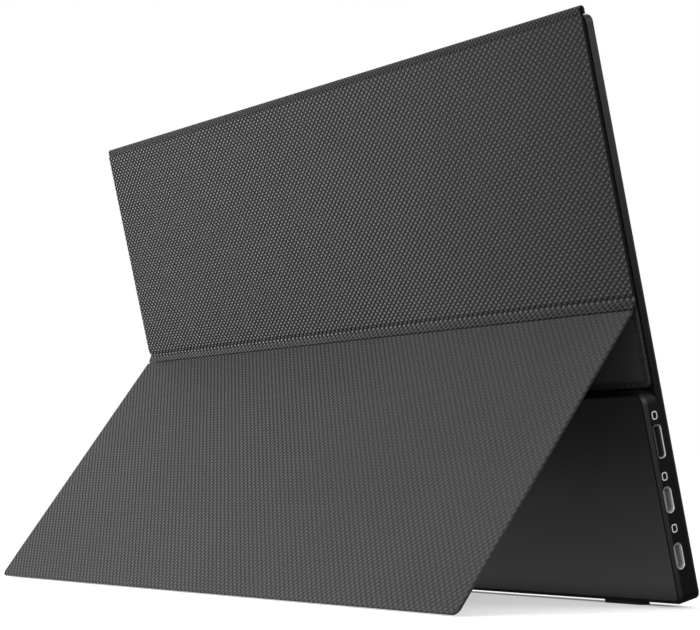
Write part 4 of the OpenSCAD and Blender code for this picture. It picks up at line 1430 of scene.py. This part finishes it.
@dataclass(frozen=True)
class Surround:
    """A white surround that lights the object softly, brighter from two sides."""

    key_way: Triple = (0.6, 0.62, 0.5)
    key_reach: Point = (-0.3, 0.95)
    key_light: Point = (0.03, 0.5)
    rise_reach: Point = (-0.6, 0.3)
    rise_share: float = 0.1
    sky_height: float = 0.35
    sky_light: float = 0.45
    lobe_way: Triple = (-0.62, -0.62, 0.48)
    lobe_from: float = 0.88
    lobe_light: float = 2.4

    def build(self) -> None:
        """Builds the world."""
        world = bpy.data.worlds.new("Studio")
        bpy.context.scene.world = world
        t = fresh_tree(world)
        way = t.add("TexCoord").outputs["Generated"]
        side = t.dot(way, self.key_way)
        height = t.add("SeparateXYZ", _0=way).outputs[2]
        glow = t.between(side, *self.key_reach, *self.key_light)
        rise = t.between(side, *self.rise_reach, self.rise_share, 1.0)
        sky = t.between(height, 0.0, self.sky_height, 0.0, self.sky_light, False)
        level = t.maths("MULTIPLY_ADD", sky, rise, glow)
        lobe = t.between(t.dot(way, self.lobe_way), self.lobe_from, 1.0, 0.0,
                         self.lobe_light)
        soft = t.add("Background", Color=WHITE, Strength=t.maths("ADD", level, lobe))
        white = t.add("Background", Color=WHITE, Strength=1.0)
        seen = t.add("LightPath").outputs["Is Camera Ray"]
        t.add("OutputWorld", _0=t.mix_shaders(seen, soft, white).outputs[0])


@dataclass(frozen=True)
class Lamp:
    """A square area lamp in metres and watts; a glint shows in reflections only."""

    name: str
    place: Triple
    aim: Triple
    size: float
    power: float
    glint: bool = False

    def build(self) -> None:
        """Hangs the lamp and aims it at its point."""
        data = bpy.data.lights.new(self.name, "AREA")
        data.shape, data.size, data.energy = "SQUARE", self.size, self.power
        obj = add_object(self.name, data)
        obj.visible_camera = False
        obj.visible_diffuse = not self.glint
        obj.location = self.place
        obj.rotation_mode = "QUATERNION"
        way = Vector(self.aim) - Vector(self.place)
        obj.rotation_quaternion = way.to_track_quat("-Z", "Y")


@dataclass(frozen=True)
class Studio:
    """Camera, floor, surround and lamps."""

    lamps: tuple[Lamp, ...] = (
        Lamp("key", (0.55, 0.66, 0.24), (0, 0, 0.1), 0.35, 6.0),
        Lamp("top", (0.2, 0.4, 1.8), (0, 0, 0), 1.2, 10.0),
        Lamp("fill", (-1.05, 0.45, 0.35), (-0.17, 0, 0.08), 0.3, 2.2),
        Lamp("glint", (-0.62, 0.85, 0.12), (-0.17, 0, 0.08), 0.22, 4.0, True),
    )

    def build(self) -> None:
        """Sets the whole studio."""
        for thing in (Camera(), Floor(), Surround(), *self.lamps):
            thing.build()
        bpy.context.scene.view_settings.view_transform = "Standard"


def main() -> None:
    """Builds the studio and every piece in order."""
    logging.basicConfig(level=logging.INFO, format="%(message)s")
    Studio().build()
    finishes = Finishes()
    for finish, nodes in NODE_FINISHES.items():
        for node in nodes:
            finishes.dress(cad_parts[node], finish)
        LOG.info("%s on %s", finish, ", ".join(nodes))
    Cover(finishes).build()
    Sockets(finishes).build()
    Chin(finishes).build()


if __name__ == "__main__":
    main()
